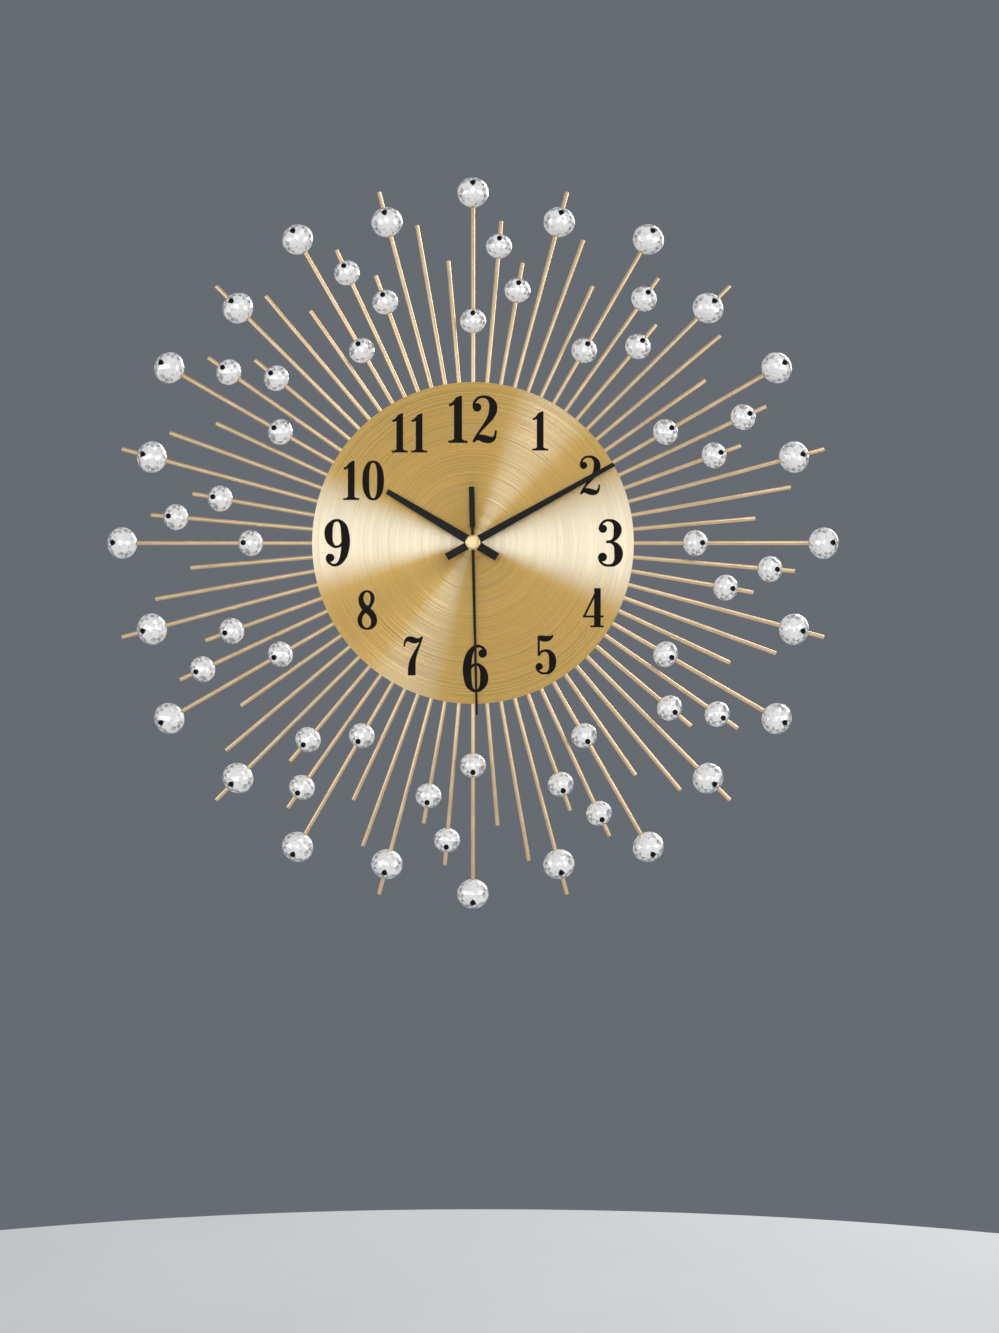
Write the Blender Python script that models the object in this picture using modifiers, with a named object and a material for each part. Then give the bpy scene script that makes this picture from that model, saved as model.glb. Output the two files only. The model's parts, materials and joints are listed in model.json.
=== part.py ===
"""Sunburst wall clock: ray frame with threaded beads, dial, hands and a quartz movement.

Everything is drawn in the clock's own frame: X to the right, Y up the dial, Z the height
above the wall. One empty turns that frame upright, so that the dial faces -Y in the world.
Lengths are in millimetres here and become metres when a shape is made.
"""

import math

import bmesh
import bpy
from mathutils import Matrix, Vector

MM = 0.001
GAP = 0.3  # clearance between touching pieces

# --- ray frame -------------------------------------------------------------------------
SECTORS = 12
RODS_PER_SECTOR = 6
ROD_STEP = math.radians(5.0)
ROD_R = 1.6
ROD_INNER = 107.0
ROD_HEIGHT = 16.8
ROD_TIPS = (290.0, 264.5, 233.0, 297.5, 264.0, 232.0)
TIP_BEAD_AT = 287.0
BIG_BEAD = {"radius": 13.0, "half": 12.0}
SMALL_BEAD = {"radius": 10.75, "half": 9.9}
# (rod number, distance from the centre, size) of the beads threaded along each sector
THREADED = ((0, 182.0, SMALL_BEAD), (1, 244.0, SMALL_BEAD), (2, 210.0, SMALL_BEAD), (3, 272.0, BIG_BEAD))
BEAD_SIDES = 8
RING_BAND = (106.0, 122.0)
RING_LEVELS = (14.0, 15.8)

# --- dial and plate ----------------------------------------------------------------------
DIAL_R = 131.5
DIAL_LEVELS = (19.4, 20.4)
BUSH_HOLE_R = 4.3
PLATE_STEP = (44.0, 48.0)
PLATE_R = 127.0
PLATE_RIM = (12.5, 13.7)
PLATE_BOSS = (17.9, 19.1)

# --- hanger and bumpers --------------------------------------------------------------------
HANGER_WIDTH = 30.0
HANGER_FOOT = (95.0, 110.0)
HANGER_FLANGE = (60.0, 95.0)
STRAP = 1.2
KEYHOLE = {"eye_at": 69.0, "eye_r": 4.6, "slot_end": 79.0, "slot_r": 2.3}
SCREW_AT = (11.0, 103.0)
BUMPER_AT = (75.0, -75.0)

# --- movement ------------------------------------------------------------------------------
CASE_HALF = 28.0
CASE_WALL = 1.2
CASE_FRONT = 16.5
COVER_BOTTOM = -10.7
BATTERY_R = 7.1
BATTERY_Y = -19.4
BATTERY_Z = 7.6
THIRD_AT = (-8.273, 6.942)
INTERMEDIATE_AT = (6.195, 8.847)
ROTOR_AT = (14.468, 10.306)
MOTION_AT = (-8.269, -3.010)
KNOB_AT = (-16.936, -4.538)

# Levels of the gear layers above the wall, low and high
LAYER = {1: (14.2, 15.0), 2: (12.9, 13.9), 3: (11.8, 12.6), 4: (10.6, 11.4), 5: (9.4, 10.2), 6: (8.2, 9.0)}
MODULE = {"seconds": 0.6, "third": 0.4, "centre": 0.42353, "motion": 0.55, "hour": 0.44, "rotor": 0.4}
# Tooth height beyond and below the pitch circle in modules, half widths in tooth pitches
WHEEL_TOOTH = {"tip": 0.75, "root": 1.6, "root_half": 0.5, "tip_half": 0.09}
PINION_TOOTH = {"tip": 0.7, "root": 1.1, "root_half": 0.24, "tip_half": 0.11}
ARBOR_R = 0.6
PIVOT_HOLE_R = 0.9
ARBOR_REAR = 4.2
ARBOR_FRONT = 15.0

# --- hands: clockwise angle from twelve, then the outline --------------------------------------
HOUR_ANGLE = math.radians(300.8)
MINUTE_ANGLE = math.radians(61.0)
SECOND_ANGLE = math.radians(178.7)
HUB_R = 5.5


# ===========================================================================================
# Building blocks
# ===========================================================================================
def clear_scene():
    for obj in list(bpy.data.objects):
        bpy.data.objects.remove(obj, do_unlink=True)


def empty(name, parent=None, at=(0.0, 0.0, 0.0)):
    obj = bpy.data.objects.new(name, None)
    obj.empty_display_size = 0.01
    obj.location = Vector(at) * MM
    obj.parent = parent
    bpy.context.scene.collection.objects.link(obj)
    return obj


def material(name, colour, metallic, roughness):
    found = bpy.data.materials.get(name)
    if found:
        return found
    made = bpy.data.materials.new(name)
    made.use_nodes = True
    made.diffuse_color = (*colour, 1.0)
    shader = made.node_tree.nodes["Principled BSDF"]
    shader.inputs["Base Color"].default_value = (*colour, 1.0)
    shader.inputs["Metallic"].default_value = metallic
    shader.inputs["Roughness"].default_value = roughness
    return made


def palette():
    """Every finish, by the name its pieces use."""
    table = {
        "ray_gold": ((0.80, 0.62, 0.34), 1.0, 0.30),
        "crystal_silver": ((0.86, 0.87, 0.90), 0.75, 0.12),
        "dial_gold": ((0.78, 0.62, 0.30), 1.0, 0.28),
        "hand_black": ((0.015, 0.015, 0.016), 0.0, 0.42),
        "cap_gold": ((0.80, 0.70, 0.48), 1.0, 0.35),
        "plate_black": ((0.05, 0.05, 0.055), 0.2, 0.55),
        "zinc_steel": ((0.60, 0.61, 0.62), 1.0, 0.38),
        "rubber_black": ((0.02, 0.02, 0.02), 0.0, 0.85),
        "case_black": ((0.03, 0.03, 0.032), 0.0, 0.48),
        "brass": ((0.78, 0.58, 0.25), 1.0, 0.30),
        "battery_wrap": ((0.10, 0.22, 0.36), 0.2, 0.35),
        "spring_nickel": ((0.70, 0.70, 0.68), 1.0, 0.28),
        "board_green": ((0.03, 0.20, 0.09), 0.0, 0.45),
        "chip_black": ((0.02, 0.02, 0.02), 0.0, 0.6),
        "crystal_can": ((0.68, 0.69, 0.70), 1.0, 0.25),
        "bobbin_white": ((0.85, 0.84, 0.80), 0.0, 0.5),
        "copper_wire": ((0.72, 0.33, 0.15), 1.0, 0.35),
        "stator_iron": ((0.45, 0.45, 0.46), 1.0, 0.42),
        "gear_white": ((0.86, 0.85, 0.81), 0.0, 0.45),
        "gear_red": ((0.60, 0.10, 0.08), 0.0, 0.45),
        "magnet": ((0.22, 0.22, 0.24), 0.9, 0.4),
    }
    return {name: material(name, *values) for name, values in table.items()}


def new_object(name, mesh, parent, finish, at=(0.0, 0.0), turn=0.0):
    """An object whose origin is on the axis that its piece turns about."""
    obj = bpy.data.objects.new(name, mesh)
    obj.location = (at[0] * MM, at[1] * MM, 0.0)
    obj.rotation_euler = (0.0, 0.0, turn)
    obj.parent = parent
    if finish and not mesh.materials:
        mesh.materials.append(finish)
    bpy.context.scene.collection.objects.link(obj)
    return obj


def tool_collection():
    found = bpy.data.collections.get("cutters")
    if not found:
        found = bpy.data.collections.new("cutters")
        found.hide_render = True
        bpy.context.scene.collection.children.link(found)
    return found


def helper(mesh, like, offset=(0.0, 0.0, 0.0)):
    """A hidden solid in the same place as `like`, for a Boolean."""
    obj = bpy.data.objects.new(like.name + ".tool", mesh)
    obj.location = like.matrix_basis @ (Vector(offset) * MM)
    obj.rotation_euler = like.rotation_euler
    obj.parent = like.parent
    obj.hide_render = True
    obj.display_type = "WIRE"
    tool_collection().objects.link(obj)
    return obj


def boolean(obj, mesh, operation, offset=(0.0, 0.0, 0.0)):
    modifier = obj.modifiers.new(operation.lower(), "BOOLEAN")
    modifier.solver = "EXACT"
    modifier.operation = operation
    modifier.object = helper(mesh, obj, offset)


def add(obj, mesh, offset=(0.0, 0.0, 0.0)):
    boolean(obj, mesh, "UNION", offset)


def cut(obj, mesh, offset=(0.0, 0.0, 0.0)):
    boolean(obj, mesh, "DIFFERENCE", offset)


def shade_smooth(mesh, angle=35.0):
    """Smooth faces with the edges sharper than `angle` degrees kept crisp."""
    mesh.polygons.foreach_set("use_smooth", [True] * len(mesh.polygons))
    mesh.set_sharp_from_angle(angle=math.radians(angle))


def prism(outlines, low, high, name="prism"):
    """A flat plate between two levels: the first outline is its edge, the others are holes."""
    curve = bpy.data.curves.new(name, "CURVE")
    curve.dimensions = "2D"
    curve.fill_mode = "BOTH"
    curve.extrude = (high - low) / 2 * MM
    for outline in outlines:
        spline = curve.splines.new("POLY")
        spline.points.add(len(outline) - 1)
        for point, (x, y) in zip(spline.points, outline):
            point.co = (x * MM, y * MM, 0.0, 1.0)
        spline.use_cyclic_u = True
    holder = bpy.data.objects.new(name, curve)
    bpy.context.scene.collection.objects.link(holder)
    graph = bpy.context.evaluated_depsgraph_get()
    mesh = bpy.data.meshes.new_from_object(holder.evaluated_get(graph))
    bpy.data.objects.remove(holder)
    bpy.data.curves.remove(curve)
    shape = bmesh.new()
    shape.from_mesh(mesh)
    bmesh.ops.remove_doubles(shape, verts=shape.verts, dist=1e-6)
    bmesh.ops.translate(shape, verts=shape.verts, vec=(0.0, 0.0, (low + high) / 2 * MM))
    bmesh.ops.recalc_face_normals(shape, faces=shape.faces)
    shape.to_mesh(mesh)
    shape.free()
    shade_smooth(mesh)
    return mesh


def rod(radius, low, high, sides=12, name="rod"):
    """An upright cylinder between two levels."""
    shape = bmesh.new()
    bmesh.ops.create_cone(
        shape, cap_ends=True, segments=sides, radius1=radius * MM, radius2=radius * MM,
        depth=(high - low) * MM, matrix=Matrix.Translation((0.0, 0.0, (low + high) / 2 * MM)),
    )
    mesh = bpy.data.meshes.new(name)
    shape.to_mesh(mesh)
    shape.free()
    shade_smooth(mesh)
    return mesh


def block(low, high, name="block"):
    """A box between two corners."""
    low, high = Vector(low) * MM, Vector(high) * MM
    shape = bmesh.new()
    bmesh.ops.create_cube(
        shape, size=1.0,
        matrix=Matrix.Translation((low + high) / 2) @ Matrix.Diagonal((*(high - low), 1.0)),
    )
    mesh = bpy.data.meshes.new(name)
    shape.to_mesh(mesh)
    shape.free()
    return mesh


def lathe(name, profile, parent, finish, steps, at=(0.0, 0.0)):
    """A turned piece from a closed (radius, level) profile, or one that ends on the axis."""
    closed = profile[0][0] > 0.0
    mesh = bpy.data.meshes.new(name)
    points = [(radius * MM, 0.0, level * MM) for radius, level in profile]
    edges = [(i, i + 1) for i in range(len(points) - 1)]
    if closed:
        edges.append((len(points) - 1, 0))
    mesh.from_pydata(points, edges, [])
    obj = new_object(name, mesh, parent, finish, at)
    modifier = obj.modifiers.new("turn", "SCREW")
    modifier.axis = "Z"
    modifier.steps = modifier.render_steps = steps
    modifier.use_merge_vertices = True
    modifier.merge_threshold = 1e-6
    modifier.use_smooth_shade = True
    return obj


def circle(radius, count, centre=(0.0, 0.0), start=0.0):
    return [
        (centre[0] + radius * math.cos(start + i * math.tau / count),
         centre[1] + radius * math.sin(start + i * math.tau / count))
        for i in range(count)
    ]


def rectangle(x0, y0, x1, y1):
    return [(x0, y0), (x1, y0), (x1, y1), (x0, y1)]


def rounded_rectangle(x0, y0, x1, y1, radius, count=3):
    corners = ((x1 - radius, y1 - radius), (x0 + radius, y1 - radius),
               (x0 + radius, y0 + radius), (x1 - radius, y0 + radius))
    return [
        (cx + radius * math.cos(quarter * math.pi / 2 + i * math.pi / 2 / count),
         cy + radius * math.sin(quarter * math.pi / 2 + i * math.pi / 2 / count))
        for quarter, (cx, cy) in enumerate(corners) for i in range(count + 1)
    ]


def polar(radius, angle):
    """A point by its clockwise angle from twelve."""
    return radius * math.sin(angle), radius * math.cos(angle)


def gear(teeth, module, tooth, phase=0.0):
    """A toothed outline. `phase` is the direction of the first tooth, from +X."""
    pitch = math.tau / teeth
    middle = teeth * module / 2
    root, tip = middle - tooth["root"] * module, middle + tooth["tip"] * module
    points = []
    for i in range(teeth):
        corners = [(root, -tooth["root_half"]), (tip, -tooth["tip_half"]), (tip, tooth["tip_half"])]
        if tooth["root_half"] < 0.5:
            corners.append((root, tooth["root_half"]))
        for radius, part in corners:
            angle = phase + (i + part) * pitch
            points.append((radius * math.cos(angle), radius * math.sin(angle)))
    return points


def meshing_phase(teeth, own, other, other_teeth, other_phase):
    """The phase that puts this gear's gap where the other gear's tooth points at it."""
    toward = math.atan2(own[1] - other[1], own[0] - other[0])
    turned = (other_phase - toward) * other_teeth / teeth
    return toward + math.pi - turned + math.pi / teeth


# ===========================================================================================
# Ray frame
# ===========================================================================================
def bead_profile(radius, half):
    """Outer side of a faceted bead, from one mouth to the other: (radius, place along the rod)."""
    return [(0.34 * radius, half), (0.86 * radius, 0.58 * half), (radius, 0.0),
            (0.86 * radius, -0.58 * half), (0.34 * radius, -half)]


def turned_mesh(profile, sides, closed, matrix):
    """Rings of the profile joined round the axis, with flat facets. Without a bore it is capped."""
    shape = bmesh.new()
    rings = []
    for i in range(sides):
        turn = Matrix.Rotation(i * math.tau / sides, 4, "Z")
        rings.append([
            shape.verts.new(matrix @ turn @ Vector((radius * MM, 0.0, along * MM)))
            for radius, along in profile
        ])
    steps = len(profile) if closed else len(profile) - 1
    for i in range(sides):
        here, after = rings[i], rings[(i + 1) % sides]
        for k in range(steps):
            n = (k + 1) % len(profile)
            shape.faces.new((here[k], here[n], after[n], after[k]))
    if not closed:
        shape.faces.new([ring[0] for ring in rings])
        shape.faces.new([ring[-1] for ring in rings])
    bmesh.ops.recalc_face_normals(shape, faces=shape.faces)
    mesh = bpy.data.meshes.new("turned")
    shape.to_mesh(mesh)
    shape.free()
    return mesh


def along_rod(distance, angle):
    """Matrix that lays +Z along a rod, `distance` from the centre."""
    x, y = polar(distance, angle)
    return (Matrix.Translation((x * MM, y * MM, ROD_HEIGHT * MM))
            @ Matrix.Rotation(-angle, 4, "Z") @ Matrix.Rotation(-math.pi / 2, 4, "X"))


def ring_arc(inner, outer):
    """Outline of one sector's length of ring strip, a hair short of its neighbours."""
    first = -ROD_STEP / 2
    last = first + math.tau / SECTORS
    points = []
    for radius, forward in ((inner, True), (outer, False)):
        trim = GAP / 2 / radius
        stops = [first + trim + (last - first - 2 * trim) * i / 3 for i in range(4)]
        points += [polar(radius, angle) for angle in (stops if forward else reversed(stops))]
    return points


def sector_mesh(finish):
    """One twelfth of the ray frame: six rods, their length of strip and four beads."""
    base = new_object("sector_base", prism([ring_arc(*RING_BAND)], *RING_LEVELS), None, finish)
    for number, tip in enumerate(ROD_TIPS):
        length = tip - ROD_INNER
        profile = [(ROD_R, length), (ROD_R, 0.0)]
        add(base, turned_mesh(profile, 6, False, along_rod(ROD_INNER, number * ROD_STEP)))
    for number, distance, size in THREADED:
        lay = along_rod(distance, number * ROD_STEP)
        add(base, turned_mesh(bead_profile(**size), BEAD_SIDES, False, lay))
    bpy.context.view_layer.update()
    graph = bpy.context.evaluated_depsgraph_get()
    mesh = bpy.data.meshes.new_from_object(base.evaluated_get(graph))
    mesh.name = "ray_sector"
    mesh.materials.clear()
    mesh.materials.append(finish)
    tools = [modifier.object for modifier in base.modifiers]
    for obj in (base, *tools):
        bpy.data.objects.remove(obj, do_unlink=True)
    return mesh


def build_ray_frame(clock, finish):
    frame = empty("ray_frame", clock)
    sector = sector_mesh(finish["ray_gold"])
    profile = bead_profile(**BIG_BEAD)
    bore = ROD_R + GAP
    profile = profile + [(bore, profile[-1][1] + 0.8), (bore, profile[0][1] - 0.8)]
    bead = turned_mesh(profile, BEAD_SIDES, True, along_rod(TIP_BEAD_AT, 0.0))
    bead.materials.append(finish["crystal_silver"])
    for hour in range(SECTORS):
        turn = -hour * math.tau / SECTORS
        number = hour or SECTORS
        new_object(f"ray_sector_{number:02d}", sector, frame, None, turn=turn)
        new_object(f"tip_bead_{number:02d}", bead, frame, None, turn=turn)


# ===========================================================================================
# Dial, backing plate, hanger and bumpers
# ===========================================================================================
def build_dial(clock, finish):
    low, high = DIAL_LEVELS
    edge = 0.3
    lathe("dial_plate", [(BUSH_HOLE_R, high), (DIAL_R - edge, high), (DIAL_R, high - edge),
                         (DIAL_R, low), (BUSH_HOLE_R, low)],
          clock, finish["dial_gold"], 48)


def build_plate(clock, finish):
    inner, outer = PLATE_STEP
    plate = lathe(
        "backing_plate",
        [(BUSH_HOLE_R, PLATE_BOSS[1]), (inner, PLATE_BOSS[1]), (outer, PLATE_RIM[1]),
         (PLATE_R, PLATE_RIM[1]), (PLATE_R, PLATE_RIM[0]), (outer - 0.8, PLATE_RIM[0]),
         (inner - 0.8, PLATE_BOSS[0]), (BUSH_HOLE_R, PLATE_BOSS[0])],
        clock, finish["plate_black"], 36)
    for side in (-1, 1):
        cut(plate, rod(1.8, PLATE_RIM[0] - 1, PLATE_RIM[1] + 1, 10), (side * SCREW_AT[0], SCREW_AT[1], 0.0))


def keyhole_outline():
    """A round eye with a straight slot rising from it."""
    eye, slot = KEYHOLE["eye_r"], KEYHOLE["slot_r"]
    meet = math.asin(slot / eye)
    points = [(0.0 + eye * math.sin(a), KEYHOLE["eye_at"] + eye * math.cos(a))
              for a in [meet + (math.tau - 2 * meet) * i / 12 for i in range(13)]]
    points += [(-slot * math.cos(a), KEYHOLE["slot_end"] + slot * math.sin(a))
               for a in [math.pi * i / 6 for i in range(7)]]
    return points


def build_hanger(clock, finish):
    top = PLATE_RIM[0] - GAP
    foot = (top - STRAP, top)
    flange = (GAP, GAP + STRAP)
    web = HANGER_FOOT[0]
    side_view = [
        (HANGER_FLANGE[0], flange[0]), (web, flange[0]), (web, foot[0]), (HANGER_FOOT[1], foot[0]),
        (HANGER_FOOT[1], foot[1]), (web - STRAP, foot[1]), (web - STRAP, flange[1]),
        (HANGER_FLANGE[0], flange[1]),
    ]
    strap = prism([side_view], -HANGER_WIDTH / 2, HANGER_WIDTH / 2, "hanger_bracket")
    # The side view is drawn along and away from the wall, then stood across the clock.
    strap.transform(Matrix(((0, 0, 1, 0), (1, 0, 0, 0), (0, 1, 0, 0), (0, 0, 0, 1))))
    bracket = new_object("hanger_bracket", strap, clock, finish["zinc_steel"])
    cut(bracket, prism([keyhole_outline()], flange[0] - 1, flange[1] + 1))
    for side in (-1, 1):
        at = (side * SCREW_AT[0], SCREW_AT[1])
        cut(bracket, rod(1.8, foot[0] - 1, foot[1] + 1, 10), (*at, 0.0))
        head = foot[0] - GAP
        name = "hanger_screw_left" if side < 0 else "hanger_screw_right"
        lathe(name, [(0.0, 14.2), (1.5, 14.2), (1.5, head), (2.9, head), (2.9, head - 1.1),
                     (2.1, head - 1.8), (0.0, head - 1.8)], clock, finish["zinc_steel"], 12, at)


def build_bumpers(clock, finish):
    for side in (-1, 1):
        name = "wall_bumper_left" if side < 0 else "wall_bumper_right"
        top = PLATE_RIM[0] - GAP
        lathe(name, [(0.0, top), (6.0, top), (6.0, 2.0), (5.0, 0.0), (0.0, 0.0)], clock,
              finish["rubber_black"], 16, (side * BUMPER_AT[0], BUMPER_AT[1]))


# ===========================================================================================
# Movement: case, cover, battery and circuit
# ===========================================================================================
def build_case(body, finish):
    half, inner = CASE_HALF, CASE_HALF - CASE_WALL
    ceiling = CASE_FRONT - CASE_WALL
    shell = prism([rounded_rectangle(-half, -half, half, half, 3.0)], 0.0, CASE_FRONT, "movement_case")
    case = new_object("movement_case", shell, body, finish["case_black"])
    cut(case, prism([rounded_rectangle(-inner, -inner, inner, inner, 1.8)], -1.0, ceiling))
    add(case, block((-25.7, -11.9, 1.5), (25.7, -11.0, ceiling + 0.5)))
    for x, y in ((-23.0, 12.6), (19.5, -8.0), (-23.6, -8.6)):
        add(case, rod(1.4, 5.3, ceiling + 0.5, 8), (x, y, 0.0))
    add(case, rod(0.7, 12.9, ceiling + 0.5, 8), (*MOTION_AT, 0.0))
    cut(case, rod(BUSH_HOLE_R, ceiling - 1, CASE_FRONT + 1, 24))
    cut(case, block((-9.0, -half - 1, -1.0), (9.0, -inner + 0.5, 5.0)))


def build_cover(body, finish):
    inner = CASE_HALF - CASE_WALL - GAP
    plate = prism(
        [rounded_rectangle(-inner, COVER_BOTTOM, inner, inner, 1.6, 2), circle(5.5, 20, KNOB_AT)],
        0.0, 1.2, "movement_cover")
    new_object("movement_cover", plate, body, finish["case_black"])


def build_fixing(body, finish):
    """Bush, gasket, washer and nut that clamp dial and plate to the movement."""
    lathe("threaded_bush", [(2.8, 26.5), (3.7, 26.5), (4.0, 26.2), (4.0, 17.6), (5.5, 17.6),
                            (5.5, 16.8), (4.0, 16.8), (4.0, 15.3), (2.8, 15.3)],
          body, finish["brass"], 16)
    lathe("rubber_gasket", [(5.8, 17.6), (12.0, 17.6), (12.0, 16.8), (5.8, 16.8)], body,
          finish["rubber_black"], 16)
    lathe("washer", [(4.3, 21.3), (7.0, 21.3), (7.0, 20.7), (4.3, 20.7)], body, finish["brass"], 16)
    nut = prism([circle(6.0 / math.cos(math.pi / 6), 6), circle(4.3, 20)], 21.6, 23.8, "fixing_nut")
    new_object("fixing_nut", nut, body, finish["brass"])


def build_battery(body, joint, finish):
    """An AA cell lying along X, its raised positive end to the right."""
    profile = [(0.0, 50.5), (2.75, 50.5), (2.75, 49.5), (6.6, 49.5), (BATTERY_R, 49.0),
               (BATTERY_R, 0.5), (6.6, 0.0), (0.0, 0.0)]
    cell = lathe("battery", profile, joint, finish["battery_wrap"], 16)
    cell.rotation_euler = (0.0, math.pi / 2, 0.0)
    cell.location = (-24.7 * MM, 0.0, 0.0)
    for name, side in (("contact_positive", 1), ("contact_negative", -1)):
        outline = [(-25.0, 2.5), (-14.0, 2.5), (-14.0, 10.5), (24.0, 10.5), (24.0, 13.0), (-25.0, 13.0)]
        strip = prism([outline], 26.1, 26.5, name)
        strip.transform(Matrix(((0, 0, side, 0), (1, 0, 0, 0), (0, 1, 0, 0), (0, 0, 0, 1))))
        if side < 0:
            strip.flip_normals()
        leaf = new_object(name, strip, body, finish["spring_nickel"])
        if side < 0:
            bump = turned_mesh([(1.4, 0.0), (3.6, -1.3)], 12, False,
                               Matrix.Translation((-25.0 * MM, BATTERY_Y * MM, BATTERY_Z * MM))
                               @ Matrix.Rotation(math.pi / 2, 4, "Y"))
            add(leaf, bump)


def build_circuit(body, finish):
    board = prism([rectangle(-25.7, 17.6, 25.7, 26.3)], 11.2, 12.2, "circuit_board")
    new_object("circuit_board", board, body, finish["board_green"])
    new_object("chip", block((-19.0, 19.2, 9.5), (-13.0, 24.7, 10.9)), body, finish["chip_black"])
    can = rod(1.1, 0.0, 6.2, 10, "quartz_crystal")
    can.transform(Matrix.Translation((-10.0 * MM, 22.0 * MM, 9.8 * MM)) @ Matrix.Rotation(math.pi / 2, 4, "Y"))
    new_object("quartz_crystal", can, body, finish["crystal_can"])


def build_motor(body, finish):
    """C-shaped stator with its core through the bobbin; the rotor turns in its hole."""
    outline = [(9.0, 5.6), (24.8, 5.6), (24.8, 24.5), (22.3, 24.5), (22.3, 15.0), (11.6, 15.0),
               (11.6, 20.9), (22.0, 20.9), (22.0, 23.1), (9.0, 23.1)]
    stator = prism([outline, circle(3.1, 16, ROTOR_AT)], 5.8, 7.0, "stator")
    new_object("stator", stator, body, finish["stator_iron"])
    across = Matrix.Rotation(math.pi / 2, 4, "Y")
    for name, profile, steps, colour in (
        ("coil_bobbin", [(1.6, 9.0), (4.2, 9.0), (4.2, 8.2), (2.4, 8.2), (2.4, 0.8), (4.2, 0.8),
                         (4.2, 0.0), (1.6, 0.0)], 12, "bobbin_white"),
        ("coil_winding", [(2.7, 7.9), (3.9, 7.9), (3.9, 1.1), (2.7, 1.1)], 12, "copper_wire"),
    ):
        piece = lathe(name, profile, body, finish[colour], steps)
        piece.matrix_basis = Matrix.Translation((12.4 * MM, 22.0 * MM, 6.4 * MM)) @ across


# ===========================================================================================
# Gear train
# ===========================================================================================
def build_train_plate(body, finish):
    edge = rounded_rectangle(-25.2, -10.3, 22.0, 15.2, 1.5, 2)
    holes = [circle(PIVOT_HOLE_R, 10, at) for at in ((0.0, 0.0), THIRD_AT, INTERMEDIATE_AT, ROTOR_AT)]
    holes.append(circle(1.2, 10, KNOB_AT))
    new_object("train_plate", prism([edge, *holes], 4.0, 5.0, "train_plate"), body, finish["gear_white"])


def wheel(name, joint, finish, teeth, module, layer, phase, hole=0.0):
    """A toothed wheel on its joint, with an arbor's hole if it has one."""
    outlines = [gear(teeth, module, WHEEL_TOOTH, phase)]
    if hole:
        outlines.append(circle(hole, 16))
    return new_object(name, prism(outlines, *LAYER[layer], name), joint, finish)


def pinion(teeth, module, phase, low, high):
    return prism([gear(teeth, module, PINION_TOOTH, phase)], low, high, "pinion")


def build_train(body, joints, finish):
    """The wheels from the rotor to the hour wheel. Each pair's phases leave the teeth clear."""
    centre = (0.0, 0.0)
    white, red, brass = finish["gear_white"], finish["gear_red"], finish["brass"]

    # seconds wheel, on the long arbor that carries the second hand
    third_phase = meshing_phase(48, THIRD_AT, centre, 6, 0.0)
    seconds = wheel("seconds_wheel", joints["second"], white, 30, MODULE["seconds"], 5, 0.0)
    add(seconds, pinion(6, MODULE["third"] * 1.0, 0.0, 9.8, LAYER[4][1]))
    add(seconds, rod(ARBOR_R, ARBOR_REAR, 32.0, 8))

    # third wheel between the seconds pinion and the centre wheel
    third = wheel("third_wheel", joints["third"], red, 48, MODULE["third"], 4, third_phase)
    add(third, pinion(6, MODULE["centre"], 0.0, 11.0, LAYER[3][1]))
    add(third, rod(ARBOR_R, ARBOR_REAR, ARBOR_FRONT, 8))

    # centre wheel, friction-tight on the minute pipe
    centre_phase = meshing_phase(45, centre, THIRD_AT, 6, 0.0)
    wheel("centre_wheel", joints["minute"], white, 45, MODULE["centre"], 3, centre_phase, 1.9)

    # minute pipe with the cannon pinion
    pipe = rod(1.6, 11.7, 30.5, 12, "minute_pipe")
    minute_pipe = new_object("minute_pipe", pipe, joints["minute"], brass)
    add(minute_pipe, pinion(8, MODULE["motion"], 0.0, *LAYER[2]))
    cut(minute_pipe, rod(PIVOT_HOLE_R, 10.0, 32.0, 12))

    # motion-work wheel on its post, and the hour wheel it drives
    motion_phase = meshing_phase(24, MOTION_AT, centre, 8, 0.0)
    motion = wheel("motion_work_wheel", joints["motion"], red, 24, MODULE["motion"], 2, motion_phase)
    add(motion, pinion(8, MODULE["hour"], 0.0, 13.4, LAYER[1][1]))
    cut(motion, rod(1.0, 12.0, 16.0, 10))
    hour_phase = meshing_phase(32, centre, MOTION_AT, 8, 0.0)
    hour = wheel("hour_wheel", joints["hour"], white, 32, MODULE["hour"], 1, hour_phase)
    add(hour, rod(2.5, 14.5, 28.3, 12))
    cut(hour, rod(1.9, 13.0, 30.0, 12))

    # setting knob, geared to the motion-work wheel
    knob_phase = meshing_phase(8, KNOB_AT, MOTION_AT, 24, motion_phase)
    knob = new_object("setting_knob", rod(0.8, 1.5, 15.0, 10, "setting_knob"), joints["knob"], white)
    add(knob, pinion(8, MODULE["motion"], knob_phase, *LAYER[2]))
    grip = [(5.0 if i % 2 else 4.55, i * math.tau / 24) for i in range(24)]
    add(knob, prism([[(r * math.cos(a), r * math.sin(a)) for r, a in grip]], 0.3, 3.3))

    # intermediate wheel and rotor
    inter_phase = meshing_phase(6, INTERMEDIATE_AT, centre, 30, 0.0)
    inter = wheel("intermediate_wheel", joints["intermediate"], red, 36, MODULE["rotor"], 6, 0.0)
    add(inter, pinion(6, MODULE["seconds"], inter_phase, 8.6, LAYER[5][1]))
    add(inter, rod(ARBOR_R, ARBOR_REAR, ARBOR_FRONT, 8))
    rotor_phase = meshing_phase(6, ROTOR_AT, INTERMEDIATE_AT, 36, 0.0)
    rotor = new_object("rotor", rod(2.5, 5.5, 7.8, 16, "rotor"), joints["rotor"], finish["magnet"])
    add(rotor, pinion(6, MODULE["rotor"], rotor_phase, 7.4, LAYER[6][1]))
    add(rotor, rod(ARBOR_R, ARBOR_REAR, ARBOR_FRONT, 8))


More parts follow.
